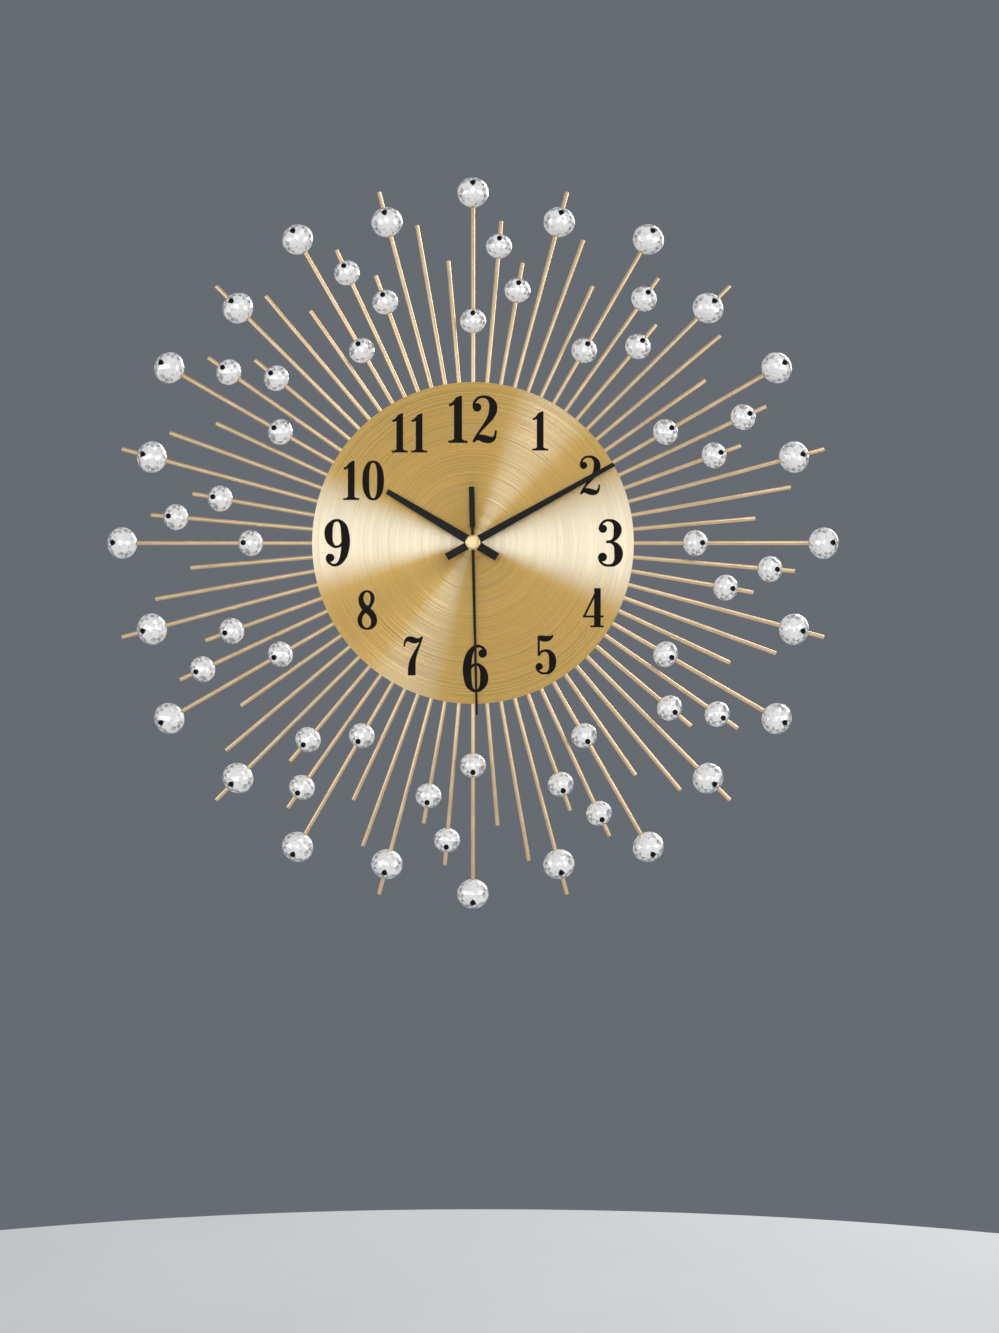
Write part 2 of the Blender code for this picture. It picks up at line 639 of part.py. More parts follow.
# ===========================================================================================
# Hands
# ===========================================================================================
def hand_outline(hub, half_root, half_tip, length, tail_half, tail, neck=None):
    """A hand pointing to twelve: tapered blade, round hub and square tail.

    `neck` is (half width, distance) of a thin neck before a wider counterweight tail.
    """
    def meet(half):
        return math.asin(half / hub)

    up, down = meet(half_root), meet(neck[0] if neck else tail_half)
    points = [(half_tip, length), (half_root, hub * math.cos(up))]
    points += [polar(hub, up + (math.pi - down - up) * i / 8) for i in range(1, 8)]
    points.append((neck[0] if neck else tail_half, -hub * math.cos(down)))
    if neck:
        points += [(neck[0], -neck[1]), (tail_half, -neck[1])]
    points.append((tail_half, -tail))
    return points + [(-x, y) for x, y in reversed(points)]


def build_hands(joints, finish):
    black = finish["hand_black"]
    for name, joint, outline, hole, low, high, angle in (
        ("hour_hand", "hour", hand_outline(HUB_R, 3.65, 2.2, 81.4, 3.45, 23.0), 2.8, 27.0, 27.8, HOUR_ANGLE),
        ("minute_hand", "minute", hand_outline(HUB_R, 3.15, 1.75, 131.5, 3.05, 24.5), 1.9, 29.3, 30.1,
         MINUTE_ANGLE),
        ("second_hand", "second", hand_outline(4.0, 1.1, 0.8, 140.5, 2.3, 45.3, (1.1, 12.3)), 0.9, 31.3,
         31.8, SECOND_ANGLE),
    ):
        mesh = prism([outline, circle(hole, 16)], low, high, name)
        new_object(name, mesh, joints[joint], black, turn=-angle)
    lathe("hub_cap", [(0.0, 34.0), (5.4, 34.0), (6.2, 33.3), (6.2, 32.1), (2.0, 32.1), (0.0, 32.1)],
          joints["second"], finish["cap_gold"], 24)


def main():
    clear_scene()
    finish = palette()
    clock = empty("clock")
    clock.rotation_euler = (math.pi / 2, 0.0, 0.0)
    body = empty("movement", clock)
    places = {
        "second": (0.0, 0.0), "minute": (0.0, 0.0), "hour": (0.0, 0.0), "third": THIRD_AT,
        "intermediate": INTERMEDIATE_AT, "rotor": ROTOR_AT, "motion": MOTION_AT, "knob": KNOB_AT,
    }
    joints = {name: empty(name + "_axis", clock, (*at, 0.0)) for name, at in places.items()}
    joints["battery"] = empty("battery_slide", clock, (0.0, BATTERY_Y, BATTERY_Z))
    build_ray_frame(clock, finish)
    build_dial(clock, finish)
    build_plate(clock, finish)
    build_hanger(clock, finish)
    build_bumpers(clock, finish)
    build_case(body, finish)
    build_cover(body, finish)
    build_fixing(body, finish)
    build_battery(body, joints["battery"], finish)
    build_circuit(body, finish)
    build_motor(body, finish)
    build_train_plate(body, finish)
    build_train(body, joints, finish)
    build_hands(joints, finish)
    bpy.context.view_layer.update()


main()
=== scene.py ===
"""Sunburst wall clock: the finished look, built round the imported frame."""

from __future__ import annotations

import json
import logging
import math
from dataclasses import dataclass, field
from enum import Enum
from typing import Any, Iterable, Sequence

import bmesh
import bpy
from mathutils import Matrix, Vector, noise

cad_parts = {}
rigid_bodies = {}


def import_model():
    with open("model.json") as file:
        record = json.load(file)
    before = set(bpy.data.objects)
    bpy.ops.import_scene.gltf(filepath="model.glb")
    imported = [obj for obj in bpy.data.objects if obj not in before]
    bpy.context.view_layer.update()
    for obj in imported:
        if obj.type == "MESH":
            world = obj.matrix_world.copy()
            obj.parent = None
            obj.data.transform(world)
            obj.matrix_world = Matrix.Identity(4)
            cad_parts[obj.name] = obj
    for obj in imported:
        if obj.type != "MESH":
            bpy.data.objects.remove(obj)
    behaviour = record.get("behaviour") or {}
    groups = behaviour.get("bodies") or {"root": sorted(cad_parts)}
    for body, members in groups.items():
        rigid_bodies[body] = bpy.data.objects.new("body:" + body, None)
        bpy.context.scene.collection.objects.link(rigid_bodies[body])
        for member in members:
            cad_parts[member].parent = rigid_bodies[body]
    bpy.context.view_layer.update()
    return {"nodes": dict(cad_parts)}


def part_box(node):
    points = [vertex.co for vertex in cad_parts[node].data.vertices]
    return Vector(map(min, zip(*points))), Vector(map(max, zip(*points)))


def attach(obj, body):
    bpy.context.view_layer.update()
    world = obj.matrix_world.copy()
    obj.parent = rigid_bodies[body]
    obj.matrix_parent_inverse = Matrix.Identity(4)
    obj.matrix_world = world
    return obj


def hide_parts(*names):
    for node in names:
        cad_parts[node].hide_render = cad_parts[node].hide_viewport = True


LOG = logging.getLogger("sunburst_clock")
MM = 0.001
ROOT = "clock_body"
SLIVER = 0.0000025  # Carved points nearer than this, in metres, are one point.
CRISP = 35.0  # Edges sharper than this many degrees stay crisp.
UPRIGHT = Matrix.Rotation(math.pi / 2, 4, "X")  # From X right, Y up the dial, Z off the wall.
HERE = Matrix.Identity(4)
FULL_HOUR = math.pi / 6
FACET = "facet"  # Mesh attribute that gives each facet of a bead its own tone.
Point = tuple[float, float]
Colour = tuple[float, float, float]
Pieces = list[bpy.types.Object]


# =============================================================================
# Shader building
# =============================================================================
class Sock:
    """A shader socket whose arithmetic adds Math nodes."""

    def __init__(self, graph: "Graph", socket: Any) -> None:
        """Wrap an output socket of a graph."""
        self.graph = graph
        self.socket = socket

    def _math(self, operation: str, *values: Any) -> "Sock":
        """Add one Math node.

        Args:
            operation: The node's operation.
            values: Sockets or numbers for its inputs.

        Returns:
            The node's output.
        """
        return self.graph.node("ShaderNodeMath", {"operation": operation}, dict(enumerate(values)))

    def __add__(self, other: Any) -> "Sock":
        """Sum."""
        return self._math("ADD", self, other)

    def __radd__(self, other: Any) -> "Sock":
        """Sum with a number on the left."""
        return self._math("ADD", other, self)

    def __sub__(self, other: Any) -> "Sock":
        """Difference."""
        return self._math("SUBTRACT", self, other)

    def __rsub__(self, other: Any) -> "Sock":
        """Difference with a number on the left."""
        return self._math("SUBTRACT", other, self)

    def __mul__(self, other: Any) -> "Sock":
        """Product."""
        return self._math("MULTIPLY", self, other)

    def __rmul__(self, other: Any) -> "Sock":
        """Product with a number on the left."""
        return self._math("MULTIPLY", other, self)

    def __truediv__(self, other: Any) -> "Sock":
        """Quotient."""
        return self._math("DIVIDE", self, other)

    def __rtruediv__(self, other: Any) -> "Sock":
        """Quotient with a number on the left."""
        return self._math("DIVIDE", other, self)

    def power(self, exponent: float) -> "Sock":
        """This value raised to a power."""
        return self._math("POWER", self, exponent)

    def floor(self) -> "Sock":
        """This value rounded down."""
        return self._math("FLOOR", self)

    def absolute(self) -> "Sock":
        """This value without its sign."""
        return self._math("ABSOLUTE", self)

    def clamp(self) -> "Sock":
        """This value kept between 0 and 1."""
        return self.graph.node("ShaderNodeClamp", {}, {"Value": self})

    def fade(self, low: float, high: float, start: float = 0.0, end: float = 1.0) -> "Sock":
        """Smooth step of this value from start to end.

        Args:
            low: Value where the step begins.
            high: Value where it is complete.
            start: Output at and below low.
            end: Output at and above high.

        Returns:
            The stepped value.
        """
        inputs = {"Value": self, "From Min": low, "From Max": high, "To Min": start, "To Max": end}
        return self.graph.node("ShaderNodeMapRange", {"interpolation_type": "SMOOTHSTEP"}, inputs)


class Graph:
    """The node tree of a material or of the world."""

    def __init__(self, owner: Any) -> None:
        """Switch on the nodes of a material or of the world."""
        owner.use_nodes = True
        self.owner = owner
        self.tree = owner.node_tree
        self._place: Sock | None = None

    @classmethod
    def material(cls, name: str) -> "Graph":
        """The tree of a new material, which starts with one Principled shader."""
        return cls(bpy.data.materials.new(name))

    def node(self, kind: str, settings: dict[str, Any], inputs: dict[Any, Any],
             out: str | int = 0) -> Sock:
        """Add any node.

        Args:
            kind: The node's type.
            settings: Its properties, set before its sockets.
            inputs: Numbers, tuples or sockets, by input name or place.
            out: Name or place of the output wanted.

        Returns:
            The wrapped output socket.
        """
        node = self.tree.nodes.new(kind)
        for name, value in settings.items():
            setattr(node, name, value)
        for name, value in inputs.items():
            self.feed(node.inputs[name], value)
        return Sock(self, node.outputs[out])

    def feed(self, socket: Any, value: Any) -> None:
        """Link or set one input socket.

        Args:
            socket: The input.
            value: A wrapped socket to link, or a number or tuple to set.
        """
        if isinstance(value, Sock):
            self.tree.links.new(value.socket, socket)
        elif isinstance(value, tuple) and len(value) == 3 and socket.type == "RGBA":
            socket.default_value = (*value, 1.0)
        else:
            socket.default_value = value

    @property
    def place(self) -> Sock:
        """Object coordinates in metres."""
        if self._place is None:
            self._place = self.node("ShaderNodeTexCoord", {}, {}, "Object")
        return self._place

    def axis(self, name: str, of: Sock | None = None) -> Sock:
        """One coordinate of a vector, by default of the place."""
        return self.node("ShaderNodeSeparateXYZ", {}, {"Vector": of or self.place}, name)

    def join(self, x: Any, y: Any, z: Any) -> Sock:
        """A vector from three values."""
        return self.node("ShaderNodeCombineXYZ", {}, {"X": x, "Y": y, "Z": z})

    def radius(self, guard: float = 0.0) -> Sock:
        """Distance from the piece's own Z axis, with a guard that keeps it above zero."""
        x, y = self.axis("X"), self.axis("Y")
        return (x * x + y * y + guard).power(0.5)

    def noise(self, scale: float, detail: float = 3.0,
              stretch: tuple[float, float, float] | None = None,
              vector: Sock | None = None) -> Sock:
        """Cloudy noise between 0 and 1.

        Args:
            scale: Features per metre.
            detail: Octaves.
            stretch: Scale along each axis, for a drawn-out grain.
            vector: Coordinates, or None for the place.

        Returns:
            The noise value.
        """
        vector = vector or self.place
        if stretch:
            vector = self.node("ShaderNodeVectorMath", {"operation": "MULTIPLY"},
                               {0: vector, 1: stretch})
        return self.node("ShaderNodeTexNoise", {},
                         {"Vector": vector, "Scale": scale, "Detail": detail})

    def mix(self, factor: Any, a: Any, b: Any) -> Sock:
        """Blend two colours, which are the colour inputs 6 and 7 of a Mix node."""
        return self.node("ShaderNodeMix", {"data_type": "RGBA"}, {0: factor, 6: a, 7: b}, 2)

    def bump(self, height: Sock, strength: float, distance: float) -> Sock:
        """Surface relief from a height value."""
        return self.node("ShaderNodeBump", {},
                         {"Height": height, "Strength": strength, "Distance": distance})

    def surface(self, **inputs: Any) -> bpy.types.Material:
        """Feed the shader.

        Args:
            inputs: Values by socket name, with underscores for its spaces.

        Returns:
            The finished material.
        """
        shader = self.tree.nodes["Principled BSDF"]
        for name, value in inputs.items():
            self.feed(shader.inputs[name.replace("_", " ")], value)
        return self.owner


# =============================================================================
# Finishes
# =============================================================================
class Grain(Enum):
    """Which way the fine lines of a metal run."""

    NONE = "none"
    ALONG = "along"
    ROUND = "round"


@dataclass(frozen=True)
class Metal:
    """A plated or drawn metal with fine grain and slight tone changes."""

    name: str
    colour: Colour
    shade: Colour
    roughness: float = 0.28
    grain: Grain = Grain.NONE
    relief: float = 0.00002
    cloud_scale: float = 70.0
    drawn_scale: float = 900.0
    drawn_stretch: tuple[float, float, float] = (1.0, 1.0, 0.04)
    turned_scale: float = 5200.0
    cast_scale: float = 1400.0

    def fine_lines(self, g: Graph) -> Sock:
        """The grain.

        Args:
            g: The graph to add it to.

        Returns:
            A value between 0 and 1.
        """
        if self.grain is Grain.ALONG:
            return g.noise(self.drawn_scale, 2.0, self.drawn_stretch)
        if self.grain is Grain.ROUND:
            return g.noise(self.turned_scale, 2.0, vector=g.join(g.radius(), 0.0, 0.0))
        return g.noise(self.cast_scale, 2.0)

    def build(self) -> bpy.types.Material:
        """Make the material.

        Returns:
            The material.
        """
        g = Graph.material(self.name)
        cloud = g.noise(self.cloud_scale, 3.0)
        fine = self.fine_lines(g)
        tone = (cloud * 0.7 + fine * 0.3).fade(0.3, 0.7)
        rough = self.roughness + (fine - 0.5) * 0.12 + (cloud - 0.5) * 0.10
        return g.surface(Base_Color=g.mix(tone, self.shade, self.colour), Metallic=1.0,
                         Roughness=rough, Normal=g.bump(fine, 0.5, self.relief))


@dataclass(frozen=True)
class SpunDial:
    """Anodised gold sheet, spun in concentric lines that throw the light out in sectors, with painted
    highlights in four sectors of its base colour.
    """

    name: str = "spun_gold_dial"
    deep: Colour = (0.65, 0.41, 0.108)
    # Pale colour of the steeper spun lines and of the painted highlights.
    pale: Colour = (0.88, 0.84, 0.71)
    roughness: float = 0.31
    slope: float = 0.66
    lines_per_metre: float = 26000.0
    band_scale: float = 240.0
    speck_scale: float = 500.0
    guard: float = 1e-9
    # Painted highlights: middle, edge and core in degrees clockwise from twelve, and strength of each
    # bright sector of the base colour.
    painted_highlight_sectors: tuple[tuple[float, float, float, float], ...] = (
        (88.0, 31.0, 9.0, 0.62), (274.0, 25.0, 6.0, 0.62),
        (31.0, 17.0, 2.0, 0.24), (206.0, 16.0, 2.0, 0.24))

    @staticmethod
    def sector(across: Sock, up: Sock, degrees: float, edge: float, core: float,
               strength: float) -> Sock:
        """How strongly the painted highlight of a sector brightens the base colour of the spun surface
        at a place.

        Args:
            across: Sine of the place's clockwise angle from twelve.
            up: Its cosine.
            degrees: The sector's middle, clockwise from twelve.
            edge: Degrees from the middle where brightening starts.
            core: Degrees from the middle where it is full.
            strength: Value of the full brightening.

        Returns:
            A value between 0 and the strength.
        """
        turn = math.radians(degrees)
        near = across * math.sin(turn) + up * math.cos(turn)
        return near.fade(math.cos(math.radians(edge)), math.cos(math.radians(core)), 0.0, strength)

    def build(self) -> bpy.types.Material:
        """Make the material: each spun line leans in or out by an amount of its own, and four sectors
        carry painted highlights in the base colour.

        Returns:
            The material.
        """
        g = Graph.material(self.name)
        radius = g.radius(self.guard)
        across, up = g.axis("X") / radius, g.axis("Y") / radius
        ring = (radius * self.lines_per_metre).floor()
        cut = g.node("ShaderNodeTexWhiteNoise", {"noise_dimensions": "1D"}, {"W": ring}, "Value")
        tilt = (cut - 0.5) * (2.0 * self.slope)
        lean = g.join(across * tilt, up * tilt, 1.0)
        unit = g.node("ShaderNodeVectorMath", {"operation": "NORMALIZE"}, {0: lean})
        turned = g.node("ShaderNodeVectorTransform",
                        {"vector_type": "NORMAL", "convert_from": "OBJECT", "convert_to": "WORLD"},
                        {"Vector": unit})
        broad = g.noise(self.band_scale, 3.0, vector=g.join(radius, 0.0, 0.0))
        speck = g.noise(self.speck_scale, 4.0)
        steep = (cut - 0.5).absolute().fade(0.22, 0.5)
        tone = steep * 0.16 + (broad - 0.5) * 0.13 + (speck - 0.5) * 0.12
        # Painted highlights: the base colour brightened towards the pale colour in four sectors.
        for sector in self.painted_highlight_sectors:
            tone = tone + self.sector(across, up, *sector)
        rough = self.roughness + (speck - 0.5) * 0.10 + (broad - 0.5) * 0.08
        return g.surface(Base_Color=g.mix(tone.clamp(), self.deep, self.pale), Metallic=1.0,
                         Roughness=rough, Normal=turned)


@dataclass(frozen=True)
class CrystalSilver:
    """Cut crystal backed with silver: bright facets, each a little different in tone, with painted
    light on facets facing the front or back and painted shade on facets facing outward.
    """

    name: str = "crystal_silver"
    # The light end takes the painted light; the dark end takes the painted shade as well as the darker
    # facets.
    light: Colour = (1.0, 0.99, 0.98)
    facet_dark_and_painted_shade: Colour = (0.26, 0.27, 0.29)
    milk_scale: float = 240.0
    chip_scale: float = 900.0
    metallic: float = 0.22
    coat: float = 0.08
    relief: float = 0.00005

    def build(self) -> bpy.types.Material:
        """Make the material: painted light makes a facet brightest where it faces the front or the
        back; painted shade darkens it where it faces outward.

        Returns:
            The material.
        """
        g = Graph.material(self.name)
        pick = g.node("ShaderNodeAttribute", {"attribute_name": FACET}, {}, "Fac")
        facing = g.node("ShaderNodeTexCoord", {}, {}, "Normal")
        # Painted light on facets facing the front or back, painted shade on facets facing outward.
        front, outward = g.axis("Y", facing).absolute(), g.axis("Z", facing)
        milk = g.noise(self.milk_scale, 4.0)
        chip = g.noise(self.chip_scale, 2.0)
        tone = front * 0.66 + 0.14 - outward * 0.22 + pick * 0.38 + (milk - 0.5) * 0.3
        rough = 0.12 + pick * 0.12 + (chip - 0.5) * 0.06
        return g.surface(Base_Color=g.mix(tone.fade(0.10, 0.68), self.facet_dark_and_painted_shade, self.light),
                         Metallic=self.metallic, Roughness=rough,
                         Normal=g.bump(chip, 0.15, self.relief), Coat_Weight=self.coat,
                         Coat_Roughness=0.04)


@dataclass(frozen=True)
class Coated:
    """Paint, plastic, rubber or ink with a fine skin texture."""

    name: str
    colour: Colour
    shade: Colour
    roughness: float = 0.5
    speckle: float = 1500.0
    relief: float = 0.00003
    metallic: float = 0.0
    coat: float = 0.0
    gloss: float = 0.5
    cloud_scale: float = 60.0

    def build(self) -> bpy.types.Material:
        """Make the material.

        Returns:
            The material.
        """
        g = Graph.material(self.name)
        skin = g.noise(self.speckle, 3.0)
        cloud = g.noise(self.cloud_scale, 3.0)
        tone = (cloud * 0.75 + skin * 0.25).fade(0.3, 0.7)
        rough = self.roughness + (skin - 0.5) * 0.16 + (cloud - 0.5) * 0.12
        return g.surface(Base_Color=g.mix(tone, self.shade, self.colour), Metallic=self.metallic,
                         Roughness=rough, Normal=g.bump(skin, 0.4, self.relief),
                         Coat_Weight=self.coat, Specular_IOR_Level=self.gloss)


@dataclass(frozen=True)
class BatterySleeve:
    """Shrunk sleeve of a plain cell: dark body, copper-coloured band at the positive end."""

    name: str = "battery_sleeve"
    body: Colour = (0.035, 0.05, 0.075)
    band: Colour = (0.72, 0.42, 0.20)
    stripe: Colour = (0.78, 0.79, 0.80)
    haze: Colour = (0.30, 0.31, 0.33)
    band_from: float = 0.0375
    stripe_from: float = 0.0355
    stripe_to: float = 0.0365
    blur: float = 0.0002
    skin_scale: float = 700.0
    relief: float = 0.00003
    coat: float = 0.4

    def build(self) -> bpy.types.Material:
        """Make the material; places are metres from the flat end.

        Returns:
            The material.
        """
        g = Graph.material(self.name)
        along = g.axis("Z")
        split = along.fade(self.band_from - self.blur, self.band_from + self.blur)
        line = (along.fade(self.stripe_from, self.stripe_from + self.blur)
                * (1.0 - along.fade(self.stripe_to - self.blur, self.stripe_to)))
        skin = g.noise(self.skin_scale, 3.0)
        colour = g.mix(split, self.body, self.band)
        colour = g.mix(line, colour, self.stripe)
        colour = g.mix((skin - 0.35) * 0.25, colour, self.haze)
        return g.surface(Base_Color=colour, Metallic=split * 0.5, Roughness=0.24 + skin * 0.14,
                         Normal=g.bump(skin, 0.2, self.relief), Coat_Weight=self.coat)


class Finishes:
    """Every finish of the clock, made once."""

    def __init__(self) -> None:
        """Build the materials."""
        self.rod = Metal("gold_rod", (0.90, 0.68, 0.41), (0.78, 0.57, 0.32), 0.30, Grain.ALONG,
                         0.000004).build()
        self.weld = Metal("gold_weld", (0.82, 0.64, 0.38), (0.62, 0.46, 0.24), 0.38).build()
        self.dial = SpunDial().build()
        self.crystal = CrystalSilver().build()
        # Dark finish of the bead bores and mouths, and of the painted reflection of the bore cut into
        # each bead's face.
        self.bore = Coated("bead_bore", (0.035, 0.035, 0.04), (0.012, 0.012, 0.014), 0.6).build()
        self.hand = Coated("hand_black", (0.006, 0.005, 0.005), (0.003, 0.003, 0.003), 0.40,
                           gloss=0.22).build()
        self.ink = Coated("numeral_ink", (0.007, 0.005, 0.004), (0.004, 0.003, 0.003), 0.5,
                          relief=0.00001, gloss=0.12).build()
        self.cap = Metal("hub_cap_gold", (0.90, 0.70, 0.38), (0.76, 0.56, 0.26), 0.30,
                         Grain.ROUND).build()
        self.plate = Coated("plate_black", (0.050, 0.050, 0.054), (0.030, 0.030, 0.033), 0.5,
                            2200.0, 0.00006, 0.1).build()
        self.zinc = Metal("zinc_steel", (0.66, 0.67, 0.70), (0.50, 0.52, 0.53), 0.36).build()
        self.rubber = Coated("black_rubber", (0.030, 0.030, 0.030), (0.016, 0.016, 0.016),
                             0.8).build()
        self.case = Coated("movement_plastic", (0.032, 0.032, 0.034), (0.020, 0.020, 0.022), 0.5,
                           2600.0, 0.00008).build()
        self.brass = Metal("turned_brass", (0.85, 0.66, 0.32), (0.68, 0.49, 0.20), 0.26,
                           Grain.ROUND).build()
        self.sleeve = BatterySleeve().build()
        self.nickel = Metal("nickel", (0.76, 0.75, 0.72), (0.60, 0.59, 0.57), 0.26).build()
        self.board = Coated("circuit_board", (0.035, 0.22, 0.10), (0.02, 0.14, 0.06), 0.4,
                            coat=0.3).build()
        self.chip = Coated("chip_resin", (0.030, 0.030, 0.032), (0.014, 0.014, 0.015),
                           0.55).build()
        self.bobbin = Coated("bobbin_nylon", (0.84, 0.83, 0.78), (0.74, 0.73, 0.68), 0.46).build()
        self.copper = Metal("enamelled_copper", (0.80, 0.38, 0.17), (0.55, 0.22, 0.09), 0.3,
                            Grain.ALONG).build()
        self.iron = Metal("stator_iron", (0.52, 0.52, 0.53), (0.38, 0.38, 0.39), 0.42).build()
        self.acetal = Coated("white_acetal", (0.86, 0.85, 0.80), (0.76, 0.75, 0.70), 0.42).build()
        self.red = Coated("red_acetal", (0.58, 0.08, 0.06), (0.42, 0.05, 0.04), 0.42).build()
        self.magnet = Metal("magnet", (0.26, 0.26, 0.28), (0.16, 0.16, 0.18), 0.45).build()


# =============================================================================
# Mesh building
# =============================================================================
def polar(radius: float, angle: float) -> Point:
    """A point by its distance and clockwise angle from twelve."""
    return radius * math.sin(angle), radius * math.cos(angle)


def circle(radius: float, count: int, centre: Point = (0.0, 0.0)) -> list[Point]:
    """A ring of points.

    Args:
        radius: Distance of the points from the centre.
        count: How many.
        centre: The middle.

    Returns:
        The points.
    """
    step = math.tau / count
    return [(centre[0] + radius * math.cos(i * step), centre[1] + radius * math.sin(i * step))
            for i in range(count)]


def soften(mesh: bpy.types.Mesh, degrees: float = CRISP) -> None:
    """Shade a mesh smoothly, but keep the edges sharper than some degrees crisp."""
    mesh.polygons.foreach_set("use_smooth", [True] * len(mesh.polygons))
    mesh.set_sharp_from_angle(angle=math.radians(degrees))


def finish_mesh(shape: bmesh.types.BMesh, name: str,
                smooth: float | None = CRISP) -> bpy.types.Mesh:
    """Turn a bmesh into a mesh with outward faces.

    Args:
        shape: The bmesh, which is freed.
        name: The mesh's name.
        smooth: Crisp-edge angle in degrees, or None for flat facets.

    Returns:
        The mesh.
    """
    bmesh.ops.recalc_face_normals(shape, faces=shape.faces)
    mesh = bpy.data.meshes.new(name)
    shape.to_mesh(mesh)
    shape.free()
    if smooth is not None:
        soften(mesh, smooth)
    return mesh


def lathe(name: str, profile: Sequence[Point], steps: int,
          smooth: float | None = CRISP) -> bpy.types.Mesh:
    """Turn a profile of (radius, height) points about the upright axis.

    Args:
        name: The mesh's name.
        profile: Points in millimetres; a profile that starts on the axis is open, any other closes.
        steps: Sides round the axis.
        smooth: Crisp-edge angle in degrees, or None for flat facets.

    Returns:
        The mesh.
    """
    shape = bmesh.new()
    on_axis = 1e-6
    closed = profile[0][0] > on_axis
    rings = []
    for radius, height in profile:
        if radius < on_axis:
            rings.append([shape.verts.new((0.0, 0.0, height * MM))] * steps)
            continue
        rings.append([shape.verts.new((radius * MM * math.cos(i * math.tau / steps),
                                       radius * MM * math.sin(i * math.tau / steps), height * MM))
                      for i in range(steps)])
    pairs = list(zip(rings, rings[1:])) + ([(rings[-1], rings[0])] if closed else [])
    for one, two in pairs:
        for i in range(steps):
            n = (i + 1) % steps
            corners = list(dict.fromkeys((one[i], one[n], two[n], two[i])))
            if len(corners) > 2:
                shape.faces.new(corners)
    return finish_mesh(shape, name, smooth)


def plate(name: str, outlines: Sequence[Sequence[Point]], low: float, high: float,
          bevel: float = 0.0) -> bpy.types.Mesh:
    """A flat plate from an edge outline and hole outlines.

    Args:
        name: The mesh's name.
        outlines: Closed outlines in millimetres; inner ones are holes.
        low: Height of the back in millimetres.
        high: Height of the front.
        bevel: Rounding of every edge in millimetres.

    Returns:
        The mesh.
    """
    curve = bpy.data.curves.new(name, "CURVE")
    curve.dimensions = "2D"
    curve.fill_mode = "BOTH"
    curve.extrude = ((high - low) / 2 - bevel) * MM
    curve.bevel_depth = bevel * MM
    curve.bevel_resolution = 2
    curve.offset = -bevel * MM
    for outline in outlines:
        spline = curve.splines.new("POLY")
        spline.points.add(len(outline) - 1)
        for point, (x, y) in zip(spline.points, outline):
            point.co = (x * MM, y * MM, 0.0, 1.0)
        spline.use_cyclic_u = True
    holder = bpy.data.objects.new(name, curve)
    bpy.context.scene.collection.objects.link(holder)
    graph = bpy.context.evaluated_depsgraph_get()
    raw = bpy.data.meshes.new_from_object(holder.evaluated_get(graph))
    bpy.data.objects.remove(holder)
    bpy.data.curves.remove(curve)
    shape = bmesh.new()
    shape.from_mesh(raw)
    bpy.data.meshes.remove(raw)
    bmesh.ops.remove_doubles(shape, verts=shape.verts, dist=1e-7)
    bmesh.ops.translate(shape, verts=shape.verts, vec=(0.0, 0.0, (low + high) / 2 * MM))
    return finish_mesh(shape, name, 30.0)


def thread(crest: float, root: float, pitch: float, top: float, bottom: float) -> list[Point]:
    """The profile of a screw thread, drawn as plain grooves.

    Args:
        crest: Outer radius in millimetres.
        root: Radius at the bottom of a groove.
        pitch: Distance between two crests.
        top: Level of the first crest.
        bottom: Level where the thread ends.

    Returns:
        The points, from the top down.
    """
    points: list[Point] = []
    level = top
    while level > bottom:
        points += [(crest, level), (root, level - pitch / 2)]
        level -= pitch
    return points


def combine(name: str, meshes: Iterable[bpy.types.Mesh]) -> bpy.types.Mesh:
    """One mesh that holds several.

    Args:
        name: Its name.
        meshes: What goes into it.

    Returns:
        The mesh.
    """
    shape = bmesh.new()
    for mesh in meshes:
        shape.from_mesh(mesh)
    joined = bpy.data.meshes.new(name)
    shape.to_mesh(joined)
    shape.free()
    soften(joined)
    return joined


def carve(mesh: bpy.types.Mesh, cutters: Sequence[tuple[bpy.types.Mesh, Matrix]],
          operation: str = "DIFFERENCE") -> bpy.types.Mesh:
    """Apply Booleans to a mesh.

    Args:
        mesh: The solid.
        cutters: Other solids and where they stand.
        operation: The Boolean's operation.

    Returns:
        The new mesh, with the cutters' materials on the faces they leave.
    """
    base = bpy.data.objects.new("carve_base", mesh)
    bpy.context.scene.collection.objects.link(base)
    tools = []
    for solid, where in cutters:
        tool = bpy.data.objects.new("carve_tool", solid)
        tool.matrix_world = where
        bpy.context.scene.collection.objects.link(tool)
        modifier = base.modifiers.new("carve", "BOOLEAN")
        modifier.solver = "EXACT"
        modifier.operation = operation
        modifier.material_mode = "TRANSFER"
        modifier.object = tool
        tools.append(tool)
    bpy.context.view_layer.update()
    graph = bpy.context.evaluated_depsgraph_get()
    result = bpy.data.meshes.new_from_object(base.evaluated_get(graph))
    for obj in (base, *tools):
        bpy.data.objects.remove(obj, do_unlink=True)
    shape = bmesh.new()
    shape.from_mesh(result)
    bmesh.ops.remove_doubles(shape, verts=shape.verts, dist=SLIVER)
    bmesh.ops.dissolve_degenerate(shape, edges=shape.edges, dist=SLIVER)
    shape.to_mesh(result)
    shape.free()
    result.name = mesh.name
    return result


